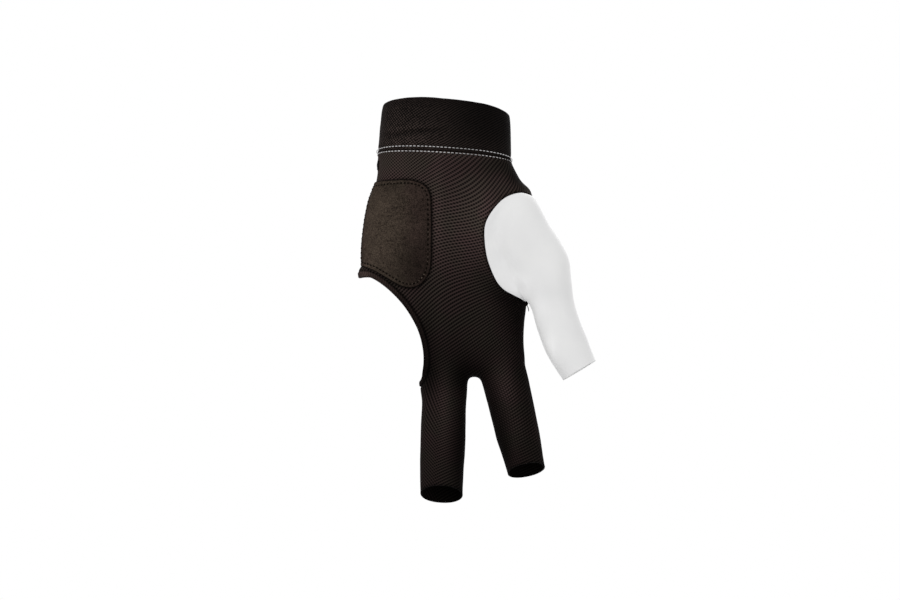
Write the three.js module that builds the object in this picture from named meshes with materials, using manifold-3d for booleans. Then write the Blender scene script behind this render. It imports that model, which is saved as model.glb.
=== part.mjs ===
// A left billiard bridge glove, in the full form that it has when worn.
// Millimetres, +Z up. The palm side faces -Y, the thumb sleeve is at +X and the tips point down.
// The origin is the centre of the wrist opening.
import * as THREE from 'three';
import { mergeVertices } from 'three/addons/utils/BufferGeometryUtils.js';
import Module from 'manifold-3d';

const wasm = await Module();
wasm.setup();

// Cloth and leather, as worn
const MESH_WALL = 1.2;
const CUFF_WALL = 2.2;
const PATCH_WALL = 1.1;
const GAP = 0.3;
const BINDING_WIDTH = 2.4;
const BINDING_PROUD = 0.5;

// How far the hollow form runs past an open end, so that the end is cut clean through
const PAST_END = 4;

// How finely the sections are drawn
const PALM_POINTS = 36;
const SLEEVE_POINTS = 24;
const CUFF_POINTS = 44;
const SEAM_STEPS = 22;
const PATCH_STEPS = 32;
const CUTTER_REACH = 45;
const CUTTER_WIDTH = 200;

// Between the two sleeves the palm closes: below this height its rows move by the wall as they shrink
const CROTCH = { from: -120, to: -131 };

// The outlines of the seams are given where they lie on the palm side and on the back
const SEAM_DEPTH = 14;

const COLOURS = {
  mesh: new THREE.MeshStandardMaterial({ color: 0x28221f, roughness: 0.85, metalness: 0 }),
  cuff: new THREE.MeshStandardMaterial({ color: 0x1e1a19, roughness: 0.8, metalness: 0 }),
  thumb: new THREE.MeshStandardMaterial({ color: 0xe0e1e1, roughness: 0.6, metalness: 0 }),
  suede: new THREE.MeshStandardMaterial({ color: 0x352e28, roughness: 0.95, metalness: 0 }),
  binding: new THREE.MeshStandardMaterial({ color: 0x171312, roughness: 0.8, metalness: 0 }),
};

// The cuff's sections: lean turns a section down towards +X, pitch lifts its palm side
const CUFF_ROWS = [
  { x: 0, y: 0, z: 0, lean: -4.8, pitch: 15.2, half: 32, front: 21, back: 21, power: 2.3 },
  { x: -0.3, y: 0, z: -10, lean: -4, pitch: 11, half: 32.6, front: 20.8, back: 20.8, power: 2.3 },
  { x: -0.8, y: 0, z: -21.8, lean: -3.4, pitch: 6, half: 33.6, front: 20.6, back: 20.6, power: 2.35 },
];

// The palm's sections: left is the side with the opening, right the side with the thumb sleeve
const PALM_ROWS = [
  { z: -22.1, left: -34.2, right: 32.7, front: 20.4, back: 20.4, lean: -3.4, pitch: 6, power: 2.35 },
  { z: -26.2, left: -34, right: 34, front: 20.2, back: 19.8, lean: -2, pitch: 4.1, power: 2.4 },
  { z: -33, left: -34.6, right: 37.3, front: 20, back: 18.5, lean: -0.5, pitch: 2, power: 2.5 },
  { z: -39, left: -36.2, right: 41.6, front: 19.5, back: 17.5, lean: 0, pitch: 0, power: 2.6 },
  { z: -45.5, left: -38.1, right: 42.4, front: 18.8, back: 16.8, lean: 0, pitch: 0, power: 2.6 },
  { z: -53, left: -39.6, right: 41.3, front: 18, back: 16.2, lean: 0, pitch: 0, power: 2.6 },
  { z: -63, left: -40.8, right: 40.6, front: 16.8, back: 15.6, lean: 0, pitch: 0, power: 2.7 },
  { z: -74, left: -41.6, right: 40.5, front: 15.5, back: 15.2, lean: 0, pitch: 0, power: 2.8 },
  { z: -84, left: -43.4, right: 40.5, front: 14.6, back: 15, lean: 0, pitch: 0, power: 2.9 },
  { z: -93, left: -44.4, right: 40.6, front: 14, back: 14.8, lean: 0, pitch: 0, power: 3 },
  { z: -105, left: -44.4, right: 39.2, front: 13.4, back: 14.4, lean: 0, pitch: 0, power: 3 },
  { z: -116, left: -44, right: 39, front: 12.4, back: 13.6, lean: 0, pitch: 0, power: 3 },
  { z: -124, left: -43, right: 39.6, front: 10.8, back: 12, lean: 0, pitch: 0, power: 2.8 },
  { z: -129, left: -42, right: 39.4, front: 8, back: 9, lean: 0, pitch: 0, power: 2.4 },
  { z: -131.4, left: -41, right: 38.5, front: 4, back: 4.5, lean: 0, pitch: 0, power: 2 },
];

// The sleeves' sections, from inside the palm to the open tip
const MIDDLE_ROWS = [
  { x: -1.5, y: 0, z: -108, lean: 0, pitch: 2, half: 10.5, front: 11.5, back: 12, power: 2.2 },
  { x: -1, y: 0, z: -123, lean: 0, pitch: 4, half: 12.2, front: 11.3, back: 12, power: 2.2 },
  { x: -1, y: -0.6, z: -135.5, lean: 0, pitch: 7, half: 11.9, front: 10.8, back: 11.2, power: 2.2 },
  { x: -1, y: -2, z: -145.5, lean: -1, pitch: 10, half: 11.1, front: 10.2, back: 10.4, power: 2.2 },
  { x: -1.5, y: -5.7, z: -162.5, lean: -1.4, pitch: 15, half: 11.3, front: 9.9, back: 10, power: 2.2 },
  { x: -2.1, y: -11, z: -180, lean: -2, pitch: 20, half: 10.8, front: 9.4, back: 9.4, power: 2.2 },
  { x: -2.1, y: -14.2, z: -188.8, lean: -3, pitch: 33, half: 10.5, front: 9.2, back: 9.2, power: 2.2 },
];
const INDEX_ROWS = [
  { x: 22.5, y: 0, z: -106, lean: 13, pitch: 2, half: 10, front: 11.5, back: 12, power: 2.2 },
  { x: 26.2, y: 0, z: -121, lean: 13.5, pitch: 4, half: 11.8, front: 11.3, back: 12, power: 2.2 },
  { x: 30.4, y: -0.8, z: -136.5, lean: 13.5, pitch: 7, half: 11.5, front: 10.6, back: 11, power: 2.2 },
  { x: 33.3, y: -2.6, z: -149, lean: 13.5, pitch: 10, half: 11.1, front: 10, back: 10.2, power: 2.2 },
  { x: 35.8, y: -4.9, z: -160.2, lean: 13.5, pitch: 13, half: 10.8, front: 9.8, back: 9.9, power: 2.2 },
  { x: 38.6, y: -8, z: -172, lean: 13.5, pitch: 16, half: 9.8, front: 9.4, back: 9.4, power: 2.2 },
  { x: 39.8, y: -9.7, z: -177.3, lean: 11.5, pitch: 26, half: 9.4, front: 9.2, back: 9.2, power: 2.2 },
];
const THUMB_ROWS = [
  { x: 27, y: -3, z: -39, lean: 30, pitch: 0, half: 8, front: 10, back: 10, power: 2.2 },
  { x: 32.6, y: -5, z: -47, lean: 30, pitch: 2, half: 12, front: 12.6, back: 13, power: 2.2 },
  { x: 36.5, y: -7.5, z: -60, lean: 30, pitch: 4, half: 15, front: 13, back: 13, power: 2.2 },
  { x: 47.4, y: -10, z: -76.6, lean: 28, pitch: 5, half: 14, front: 12.4, back: 12.6, power: 2.2 },
  { x: 50.5, y: -11.5, z: -86.8, lean: 15, pitch: 5, half: 12, front: 11.6, back: 11.6, power: 2.2 },
  { x: 52.6, y: -12, z: -95, lean: 11, pitch: 5, half: 10.8, front: 10.6, back: 10.6, power: 2.2 },
  { x: 55.9, y: -13, z: -106.1, lean: 18, pitch: 5, half: 10.7, front: 10.3, back: 10.3, power: 2.2 },
  { x: 60.4, y: -14, z: -117.4, lean: 24, pitch: 5, half: 10.6, front: 10, back: 10, power: 2.2 },
  { x: 65.8, y: -15, z: -127.8, lean: 31, pitch: 5, half: 9.3, front: 9.2, back: 9.2, power: 2.2 },
];

// The side seam between the palm and the back follows the middle of the sleeves
const SIDE_SEAM = [
  { y: 0, z: 10 },
  { y: 0, z: -123 },
  { y: -2, z: -145.5 },
  { y: -5.4, z: -161.5 },
  { y: -10.4, z: -178 },
  { y: -16.5, z: -196 },
  { y: -20, z: -206 },
];

// Seam outlines, as x and z of points on one smooth curve, each on the palm side and on the back
const THUMB_SEAM = {
  front: [
    [43.6, -41.2], [37.2, -39.6], [30.2, -42.4], [25.2, -47.4], [21, -54.2], [19.7, -61.2],
    [20.6, -72.3], [24.1, -82.3], [28.1, -87.7], [33.6, -91.2], [41.2, -94.8],
  ],
  back: [
    [43.6, -41.2], [39.6, -42.6], [36, -46], [33.4, -50.6], [31.8, -56], [31, -62.4],
    [31.4, -71], [33, -79], [35.2, -85.4], [38, -90.6], [41.2, -94.8],
  ],
  beyond: [[41.6, -97], [44, -110], [50.5, -130], [60, -150], [100, -150], [100, -30], [55, -30]],
};
const OPENING = {
  front: [
    [-47, -80.4], [-44.2, -80.3], [-42, -80.5], [-37, -81.8], [-30.7, -85.7], [-24.4, -91.4], [-19.4, -97.4],
    [-14.5, -105.8], [-11.8, -113.8], [-10.8, -122.4], [-11.8, -131], [-13.7, -135], [-17, -139],
  ],
  back: [
    [-47, -87.4], [-44.2, -84.4], [-42.2, -81.8], [-37, -81.6], [-30.9, -85.2], [-24.4, -91.2], [-19.6, -97.4],
    [-15, -105], [-12, -113.6], [-11, -122.4], [-12, -131], [-13.7, -135], [-17, -139],
  ],
  beyond: [[-30, -150], [-80, -150], [-80, -84]],
};
const PATCH_OUTLINE = [
  [-50, -35.4], [-35.4, -34.6], [-27, -33.9], [-17.6, -33.8], [-11, -36], [-7.6, -40.8],
  [-7, -50], [-7, -62], [-7.2, -74], [-8.6, -80.2], [-12, -84.9], [-16.6, -87],
  [-21.8, -86.3], [-27.2, -83.4], [-33.2, -79.7], [-36.8, -77.9], [-42, -76.1], [-50, -74],
];
const PATCH_SIDE = -0.6;

// Working with rows and rings

function radians(degrees) {
  return THREE.MathUtils.degToRad(degrees);
}

function between(a, b, c, d, t) {
  const bend = (2 * a - 5 * b + 4 * c - d) * t * t + (3 * b - a - 3 * c + d) * t * t * t;
  return b + 0.5 * ((c - a) * t + bend);
}

function refined(rows, steps) {
  const names = Object.keys(rows[0]);
  const last = rows.length - 1;
  const out = [];
  for (let i = 0; i < last; i += 1) {
    const near = [rows[Math.max(i - 1, 0)], rows[i], rows[i + 1], rows[Math.min(i + 2, last)]];
    for (let step = 0; step < steps; step += 1) {
      const row = {};
      for (const name of names) {
        row[name] = between(...near.map((r) => r[name]), step / steps);
      }
      out.push(row);
    }
  }
  out.push({ ...rows[last] });
  return out;
}

function sectionAxes(row) {
  const lean = radians(row.lean);
  const pitch = radians(row.pitch);
  const across = new THREE.Vector3(Math.cos(lean), 0, Math.sin(lean));
  const forward = new THREE.Vector3(
    -Math.sin(lean) * Math.sin(pitch),
    -Math.cos(pitch),
    Math.cos(lean) * Math.sin(pitch),
  );
  const along = new THREE.Vector3().crossVectors(across, forward);
  return { across, forward, along };
}

function rounded(value, power) {
  return Math.sign(value) * Math.abs(value) ** (2 / power);
}

function ring(row, grow, count) {
  const { across, forward } = sectionAxes(row);
  const points = [];
  for (let i = 0; i < count; i += 1) {
    const angle = (2 * Math.PI * i) / count;
    const side = rounded(Math.cos(angle), row.power) * Math.max(row.half + grow, 1);
    const depth = Math.sin(angle) > 0 ? row.front : row.back;
    const out = rounded(Math.sin(angle), row.power) * Math.max(depth + grow, 1);
    points.push(
      new THREE.Vector3(row.x, row.y, row.z).addScaledVector(across, side).addScaledVector(forward, out),
    );
  }
  return points;
}

// Closed solids

function solidOf(geometry) {
  geometry.deleteAttribute('normal');
  geometry.deleteAttribute('uv');
  const merged = mergeVertices(geometry, 1e-5);
  const mesh = new wasm.Mesh({
    numProp: 3,
    vertProperties: new Float32Array(merged.attributes.position.array),
    triVerts: new Uint32Array(merged.index.array),
  });
  return new wasm.Manifold(mesh);
}

function facesOut(points, faces) {
  let volume = 0;
  for (const [a, b, c] of faces) {
    volume += points[a].dot(new THREE.Vector3().crossVectors(points[b], points[c]));
  }
  return volume > 0 ? faces : faces.map(([a, b, c]) => [a, c, b]);
}

function closedBody(points, faces) {
  const geometry = new THREE.BufferGeometry().setFromPoints(points);
  geometry.setIndex(facesOut(points, faces).flat());
  return solidOf(geometry);
}

function lofted(rings) {
  const count = rings[0].length;
  const points = rings.flat();
  const faces = [];
  for (let r = 0; r + 1 < rings.length; r += 1) {
    for (let i = 0; i < count; i += 1) {
      const a = r * count + i;
      const b = r * count + ((i + 1) % count);
      faces.push([a, b, b + count], [a, b + count, a + count]);
    }
  }
  for (const r of [0, rings.length - 1]) {
    const middle = new THREE.Vector3();
    rings[r].forEach((point) => middle.addScaledVector(point, 1 / count));
    points.push(middle);
    const hub = points.length - 1;
    for (let i = 0; i < count; i += 1) {
      const a = r * count + i;
      const b = r * count + ((i + 1) % count);
      faces.push(r === 0 ? [hub, b, a] : [hub, a, b]);
    }
  }
  return closedBody(points, faces);
}

function prism(outlineOfDepth) {
  const front = outlineOfDepth(-CUTTER_REACH);
  const back = outlineOfDepth(CUTTER_REACH);
  const count = front.length;
  const points = [
    ...front.map((p) => new THREE.Vector3(p.x, -CUTTER_REACH, p.y)),
    ...back.map((p) => new THREE.Vector3(p.x, CUTTER_REACH, p.y)),
  ];
  const faces = [];
  for (let i = 0; i < count; i += 1) {
    const next = (i + 1) % count;
    faces.push([i, next, next + count], [i, next + count, i + count]);
  }
  const turn = THREE.ShapeUtils.isClockWise(front) ? -1 : 1;
  for (const [a, b, c] of THREE.ShapeUtils.triangulateShape(front, [])) {
    faces.push(turn > 0 ? [a, c, b] : [a, b, c]);
  }
  for (const [a, b, c] of THREE.ShapeUtils.triangulateShape(back, [])) {
    faces.push(turn > 0 ? [a + count, b + count, c + count] : [a + count, c + count, b + count]);
  }
  return closedBody(points, faces);
}

// Outlines

function smooth(pairs, steps) {
  return new THREE.SplineCurve(pairs.map(([x, z]) => new THREE.Vector2(x, z))).getPoints(steps);
}

function offset(points, distance) {
  return points.map((point, i) => {
    const before = points[Math.max(i - 1, 0)];
    const after = points[Math.min(i + 1, points.length - 1)];
    const along = new THREE.Vector2().subVectors(after, before).normalize();
    return new THREE.Vector2(point.x - along.y * distance, point.y + along.x * distance);
  });
}

// A seam's region: its two outlines lie SEAM_DEPTH in front and behind, and in between they blend
function seamRegion(seam, widen) {
  const front = offset(smooth(seam.front, SEAM_STEPS), widen);
  const back = offset(smooth(seam.back, SEAM_STEPS), widen);
  const beyond = seam.beyond.map(([x, z]) => new THREE.Vector2(x, z));
  return prism((y) => {
    const share = (y + SEAM_DEPTH) / (2 * SEAM_DEPTH);
    return [...front.map((point, i) => point.clone().lerp(back[i], share)), ...beyond];
  });
}

// The glove's full form, grown or shrunk by a distance square to its surface

function palmRows() {
  return PALM_ROWS.map(({ left, right, ...row }) => ({
    ...row, x: (left + right) / 2, y: 0, half: (right - left) / 2,
  }));
}

function extended(rows, atStart, atEnd) {
  const out = rows.map((row) => ({ ...row }));
  const first = sectionAxes(out[0]).along;
  const last = sectionAxes(out[out.length - 1]).along;
  if (atStart) {
    const row = { ...out[0] };
    row.x -= first.x * atStart;
    row.y -= first.y * atStart;
    row.z -= first.z * atStart;
    out.unshift(row);
  }
  if (atEnd) {
    const row = { ...out[out.length - 1] };
    row.x += last.x * atEnd;
    row.y += last.y * atEnd;
    row.z += last.z * atEnd;
    out.push(row);
  }
  return out;
}

function fullForm(grow, pastEnd) {
  const palm = palmRows();
  for (const row of palm) {
    const nearCrotch = THREE.MathUtils.smoothstep(-row.z, -CROTCH.from, -CROTCH.to);
    row.z -= grow * nearCrotch;
  }
  let form = lofted(extended(palm, pastEnd, 0).map((row) => ring(row, grow, PALM_POINTS)));
  for (const rows of [MIDDLE_ROWS, INDEX_ROWS, THUMB_ROWS]) {
    const sleeve = extended(refined(rows, 2), 0, pastEnd);
    form = form.add(lofted(sleeve.map((row) => ring(row, grow, SLEEVE_POINTS))));
  }
  return form;
}

function seamSide(side) {
  const edge = SIDE_SEAM.map(({ y, z }) => new THREE.Vector2(y + (side * GAP) / 2, z));
  const last = edge[edge.length - 1];
  const shape = new THREE.Shape([
    ...edge,
    new THREE.Vector2(side * CUTTER_REACH, last.y),
    new THREE.Vector2(side * CUTTER_REACH, edge[0].y),
  ]);
  const block = new THREE.ExtrudeGeometry(shape, { depth: CUTTER_WIDTH, bevelEnabled: false });
  block.applyMatrix4(new THREE.Matrix4().makeBasis(
    new THREE.Vector3(0, 1, 0), new THREE.Vector3(0, 0, 1), new THREE.Vector3(1, 0, 0),
  ));
  block.translate(-CUTTER_WIDTH / 2, 0, 0);
  return solidOf(block);
}

// The pieces

const outer = fullForm(0, 0);
const shell = outer.subtract(fullForm(-MESH_WALL, PAST_END));
const thumbRegion = seamRegion(THUMB_SEAM, 0);
const thumbRegionWide = seamRegion(THUMB_SEAM, -GAP);
const openingRegion = seamRegion(OPENING, 0);
const boundRegion = seamRegion(OPENING, BINDING_WIDTH);
const boundRegionWide = seamRegion(OPENING, BINDING_WIDTH + GAP);

function wristCuff() {
  const rows = refined(CUFF_ROWS, 2);
  const outside = lofted(rows.map((row) => ring(row, 0, CUFF_POINTS)));
  const inside = extended(rows, PAST_END, PAST_END).map((row) => ring(row, -CUFF_WALL, CUFF_POINTS));
  return outside.subtract(lofted(inside));
}

function meshPanel(side) {
  return shell.subtract(thumbRegionWide).subtract(boundRegionWide).intersect(seamSide(side));
}

function openingBinding() {
  const thick = fullForm(BINDING_PROUD, 0).subtract(fullForm(-MESH_WALL - BINDING_PROUD, PAST_END));
  return thick.intersect(boundRegion).subtract(openingRegion);
}

function palmPatch() {
  const layer = fullForm(GAP + PATCH_WALL, 0).subtract(fullForm(GAP, PAST_END));
  const outline = smooth(PATCH_OUTLINE, PATCH_STEPS);
  const region = prism(() => outline);
  const front = seamSide(-1).translate([0, PATCH_SIDE, 0]);
  return layer.intersect(region).intersect(front);
}

const PIECES = [
  { name: 'wrist_cuff', solid: wristCuff(), material: COLOURS.cuff },
  { name: 'palm_panel', solid: meshPanel(-1), material: COLOURS.mesh },
  { name: 'back_panel', solid: meshPanel(1), material: COLOURS.mesh },
  { name: 'thumb_sleeve', solid: shell.intersect(thumbRegion), material: COLOURS.thumb },
  { name: 'palm_patch', solid: palmPatch(), material: COLOURS.suede },
  { name: 'opening_binding', solid: openingBinding(), material: COLOURS.binding },
];

function geometryOf(solid) {
  const { vertProperties, triVerts } = solid.getMesh();
  const geometry = new THREE.BufferGeometry();
  geometry.setAttribute('position', new THREE.Float32BufferAttribute(vertProperties, 3));
  geometry.setIndex(new THREE.Uint32BufferAttribute(triVerts, 1));
  geometry.computeVertexNormals();
  return geometry;
}

const glove = new THREE.Group();
glove.name = 'billiard_glove';
for (const { name, solid, material } of PIECES) {
  const mesh = new THREE.Mesh(geometryOf(solid), material);
  mesh.name = name;
  glove.add(mesh);
}

export default glove;
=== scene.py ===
"""A left billiard bridge glove: mesh cloth, wrist cuff, thumb sleeve, heel patch and bound opening.

The glove keeps the full form that it has when worn. Tables are in millimetres, objects in metres.
-Y is the palm side, +X the side of the thumb sleeve, and the tips point down.
"""

import math
from collections import namedtuple

import bmesh
import bpy
import numpy as np
from bpy.props import FloatProperty, FloatVectorProperty, PointerProperty
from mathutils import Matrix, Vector, noise
from mathutils.bvhtree import BVHTree
from mathutils.kdtree import KDTree


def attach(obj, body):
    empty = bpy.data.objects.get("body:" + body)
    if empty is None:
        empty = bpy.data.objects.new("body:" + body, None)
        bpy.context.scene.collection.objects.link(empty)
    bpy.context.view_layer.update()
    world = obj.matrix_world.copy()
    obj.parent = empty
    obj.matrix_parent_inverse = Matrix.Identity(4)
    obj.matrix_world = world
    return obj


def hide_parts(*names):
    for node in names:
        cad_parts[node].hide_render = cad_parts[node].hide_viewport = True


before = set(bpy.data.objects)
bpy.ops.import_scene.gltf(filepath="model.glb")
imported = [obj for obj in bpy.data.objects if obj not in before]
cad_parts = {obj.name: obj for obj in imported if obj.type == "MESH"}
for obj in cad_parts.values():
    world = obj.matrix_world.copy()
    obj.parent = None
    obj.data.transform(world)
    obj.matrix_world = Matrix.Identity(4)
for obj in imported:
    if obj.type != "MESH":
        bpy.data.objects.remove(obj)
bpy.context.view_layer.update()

bl_info = {
    "name": "Billiard glove",
    "version": (1, 0, 0),
    "blender": (4, 5, 0),
    "location": "3D View > Sidebar > Glove",
    "description": "Models an open-tipped bridge glove in mesh cloth, elastic, suede and tape",
    "category": "Add Mesh",
}

MM = 0.001


def table_of(kind, *rows):
    """A tuple of named tuples of one kind."""
    return tuple(kind(*row) for row in rows)


# The form's sections. lean turns a section down towards +X, pitch lifts its palm side.
Row = namedtuple("Row", "x y z lean pitch half front back power")
PalmRow = namedtuple("PalmRow", "z left right front back lean pitch power")

CUFF = table_of(
    Row,
    (0, 0, 0, -4.8, 15.2, 32, 21, 21, 2.3),
    (-0.3, 0, -10, -4, 11, 32.6, 20.8, 20.8, 2.3),
    (-0.8, 0, -21.8, -3.4, 6, 33.6, 20.6, 20.6, 2.35),
)
PALM = table_of(
    PalmRow,
    (-22.1, -34.2, 32.7, 20.4, 20.4, -3.4, 6, 2.35),
    (-26.2, -34, 34, 20.2, 19.8, -2, 4.1, 2.4),
    (-33, -34.6, 37.3, 20, 18.5, -0.5, 2, 2.5),
    (-39, -36.2, 41.6, 19.5, 17.5, 0, 0, 2.6),
    (-45.5, -38.1, 42.4, 18.8, 16.8, 0, 0, 2.6),
    (-53, -39.6, 41.3, 18, 16.2, 0, 0, 2.6),
    (-63, -40.8, 40.6, 16.8, 15.6, 0, 0, 2.7),
    (-74, -41.6, 40.5, 15.5, 15.2, 0, 0, 2.8),
    (-84, -43.4, 40.5, 14.6, 15, 0, 0, 2.9),
    (-93, -44.4, 40.6, 14, 14.8, 0, 0, 3),
    (-105, -44.4, 39.2, 13.4, 14.4, 0, 0, 3),
    (-116, -44, 39, 12.4, 13.6, 0, 0, 3),
    (-124, -43, 39.6, 10.8, 12, 0, 0, 2.8),
    (-129, -42, 39.4, 8, 9, 0, 0, 2.4),
    (-131.4, -41, 38.5, 4, 4.5, 0, 0, 2),
)
MIDDLE = table_of(
    Row,
    (-1.5, 0, -108, 0, 2, 10.5, 11.5, 12, 2.2),
    (-1, 0, -123, 0, 4, 12.2, 11.3, 12, 2.2),
    (-1, -0.6, -135.5, 0, 7, 11.9, 10.8, 11.2, 2.2),
    (-1, -2, -145.5, -1, 10, 11.1, 10.2, 10.4, 2.2),
    (-1.5, -5.7, -162.5, -1.4, 15, 11.3, 9.9, 10, 2.2),
    (-2.1, -11, -180, -2, 20, 10.8, 9.4, 9.4, 2.2),
    (-2.1, -14.2, -188.8, -3, 33, 10.5, 9.2, 9.2, 2.2),
)
INDEX = table_of(
    Row,
    (22.5, 0, -106, 13, 2, 10, 11.5, 12, 2.2),
    (26.2, 0, -121, 13.5, 4, 11.8, 11.3, 12, 2.2),
    (30.4, -0.8, -136.5, 13.5, 7, 11.5, 10.6, 11, 2.2),
    (33.3, -2.6, -149, 13.5, 10, 11.1, 10, 10.2, 2.2),
    (35.8, -4.9, -160.2, 13.5, 13, 10.8, 9.8, 9.9, 2.2),
    (38.6, -8, -172, 13.5, 16, 9.8, 9.4, 9.4, 2.2),
    (39.8, -9.7, -177.3, 11.5, 26, 9.4, 9.2, 9.2, 2.2),
)
THUMB = table_of(
    Row,
    (27, -3, -39, 30, 0, 8, 10, 10, 2.2),
    (32.6, -5, -47, 30, 2, 12, 12.6, 13, 2.2),
    (36.5, -7.5, -60, 30, 4, 15, 13, 13, 2.2),
    (47.4, -10, -76.6, 28, 5, 14, 12.4, 12.6, 2.2),
    (50.5, -11.5, -86.8, 15, 5, 12, 11.6, 11.6, 2.2),
    (52.6, -12, -95, 11, 5, 10.8, 10.6, 10.6, 2.2),
    (55.9, -13, -106.1, 18, 5, 10.7, 10.3, 10.3, 2.2),
    (60.4, -14, -117.4, 24, 5, 10.6, 10, 10, 2.2),
    (65.8, -15, -127.8, 31, 5, 9.3, 9.2, 9.2, 2.2),
)
PAST_END = 8

# Seam outlines, as x and z of points on a smooth curve, on the palm side and on the back
SEAM_DEPTH = 14
CUTTER_REACH = 45
Seam = namedtuple("Seam", "front back beyond")
THUMB_SEAM = Seam(
    front=((43.6, -41.2), (37.2, -39.6), (30.2, -42.4), (25.2, -47.4), (21, -54.2), (19.7, -61.2),
           (20.6, -72.3), (24, -82.4), (27.9, -87.85), (33.5, -91.05), (41.2, -94.8)),
    back=((43.6, -41.2), (39.6, -42.6), (36, -46), (33.4, -50.6), (31.8, -56), (31, -62.4),
          (31.4, -71), (33, -79), (35.2, -85.4), (38, -90.6), (41.2, -94.8)),
    beyond=((41.6, -97), (44, -110), (50.5, -130), (60, -150), (100, -150), (100, -30), (55, -30)),
)
OPENING = Seam(
    front=((-47, -80.4), (-44.2, -80.3), (-42, -80.5), (-37, -81.8), (-30.7, -85.7), (-24.4, -91.4),
           (-19.4, -97.4), (-14.5, -105.8), (-11.8, -113.8), (-10.8, -122.4), (-11.8, -131), (-13.7, -135),
           (-17, -139)),
    back=((-47, -87.4), (-44.2, -84.4), (-42.2, -81.8), (-37, -81.6), (-30.9, -85.2), (-24.4, -91.2),
          (-19.6, -97.4), (-15, -105), (-12, -113.6), (-11, -122.4), (-12, -131), (-13.7, -135), (-17, -139)),
    beyond=((-30, -150), (-80, -150), (-80, -84)),
)
# The side seam between the palm's cloth and the back's, as y and z
SIDE_SEAM = ((0, 10), (0, -123), (-2, -145.5), (-5.4, -161.5), (-10.4, -178), (-16.5, -196), (-20, -206))
# How far its cutter reaches in front of the glove, and to either side
SIDE_REACH = 80
SIDE_CUTTER_HALF = 120
PATCH = (
    (-50, -35.4), (-35.4, -34.6), (-27, -33.9), (-17.6, -33.8), (-11, -36), (-7.6, -40.8),
    (-7, -50), (-7, -62), (-7.2, -74), (-8.6, -80.2), (-12, -84.9), (-16.6, -87),
    (-21.8, -86.3), (-27.2, -83.4), (-33.2, -79.7), (-36.8, -77.9), (-42, -76.1), (-50, -74),
)
PATCH_SIDE = -0.6


def eased(low, high, value):
    """Smoothstep from low to high, for numbers and arrays."""
    t = np.clip((value - low) / (high - low), 0, 1)
    return t * t * (3 - 2 * t)


def bell(value, width):
    """1 where the value is 0, falling off softly on either side."""
    return np.exp(-((value / width) ** 2))


def by_height(table, z):
    """The value at a height, between the rows of a table of heights and values."""
    heights, values = zip(*table)
    return np.interp(z, heights, values)


def far_from(points, place):
    """How far each point is from a place."""
    return np.linalg.norm(points - np.array(place), axis=1)


# Sections, rings and lofts

def palm_rows():
    return [
        Row((r.left + r.right) / 2, 0, r.z, r.lean, r.pitch, (r.right - r.left) / 2, r.front, r.back, r.power)
        for r in PALM
    ]


def refined(rows, steps):
    """The rows with more between them, every column on a smooth curve."""
    return [Row(*line) for line in smooth_curve(rows, steps)]


def section_axes(row):
    """The directions across a section, towards the palm side, and along the form towards the tips."""
    lean, pitch = math.radians(row.lean), math.radians(row.pitch)
    across = Vector((math.cos(lean), 0, math.sin(lean)))
    forward = Vector((
        -math.sin(lean) * math.sin(pitch), -math.cos(pitch), math.cos(lean) * math.sin(pitch)))
    return across, forward, across.cross(forward)


def extended(rows, at_start, at_end):
    """The rows with one more past either end, in line with it."""
    out = list(rows)
    if at_start:
        x, y, z = Vector(rows[0][:3]) - section_axes(rows[0])[2] * at_start
        out.insert(0, rows[0]._replace(x=x, y=y, z=z))
    if at_end:
        x, y, z = Vector(rows[-1][:3]) + section_axes(rows[-1])[2] * at_end
        out.append(rows[-1]._replace(x=x, y=y, z=z))
    return out


def ring(row, grow, count):
    """The points round one section, in millimetres, counted from the thumb side by the palm side."""
    across, forward, _ = section_axes(row)
    angle = np.linspace(0, 2 * math.pi, count, endpoint=False)
    c, s = np.cos(angle), np.sin(angle)
    side = np.sign(c) * np.abs(c) ** (2 / row.power) * max(row.half + grow, 0.5)
    depth = np.where(s > 0, row.front, row.back) + grow
    out = np.sign(s) * np.abs(s) ** (2 / row.power) * np.maximum(depth, 0.5)
    return np.array(row[:3]) + np.outer(side, across) + np.outer(out, forward)


def grid_faces(rings, count, closed):
    """The quads between rings of count points; closed joins the last ring to the first."""
    faces = []
    for r in range(rings if closed else rings - 1):
        low, high = r * count, ((r + 1) % rings) * count
        for i in range(count):
            j = (i + 1) % count
            faces.append((low + i, low + j, high + j, high + i))
    return faces


def new_object(name, points, faces):
    """A mesh object at the origin from points in millimetres, its faces turned outwards."""
    mesh = bpy.data.meshes.new(name)
    mesh.from_pydata((np.asarray(points) * MM).tolist(), [], faces)
    obj = bpy.data.objects.new(name, mesh)
    bpy.context.scene.collection.objects.link(obj)
    with edited(obj) as bm:
        bmesh.ops.recalc_face_normals(bm, faces=bm.faces)
    return obj


class edited:
    """A bmesh of an object's mesh, written back at the end of the with block."""

    def __init__(self, obj):
        self.obj = obj

    def __enter__(self):
        self.bm = bmesh.new()
        self.bm.from_mesh(self.obj.data)
        self.bm.verts.ensure_lookup_table()
        return self.bm

    def __exit__(self, *error):
        if error[0] is None:
            self.bm.to_mesh(self.obj.data)
        self.bm.free()


def loft(name, rows, grow, count):
    rings = [ring(row, grow, count) for row in rows]
    faces = grid_faces(len(rings), count, closed=False)
    faces.append(tuple(range(count)))
    faces.append(tuple(range((len(rings) - 1) * count, len(rings) * count)))
    return new_object(name, np.concatenate(rings), faces)


# Working on objects

def select_only(*objects):
    bpy.ops.object.select_all(action="DESELECT")
    for obj in objects:
        obj.select_set(True)
    bpy.context.view_layer.objects.active = objects[0]


def modified(obj, kind, **settings):
    """Adds a modifier with these settings and applies it."""
    select_only(obj)
    modifier = obj.modifiers.new(kind.lower(), kind)
    for key, value in settings.items():
        setattr(modifier, key, value)
    bpy.ops.object.modifier_apply(modifier=modifier.name)
    return obj


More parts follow.
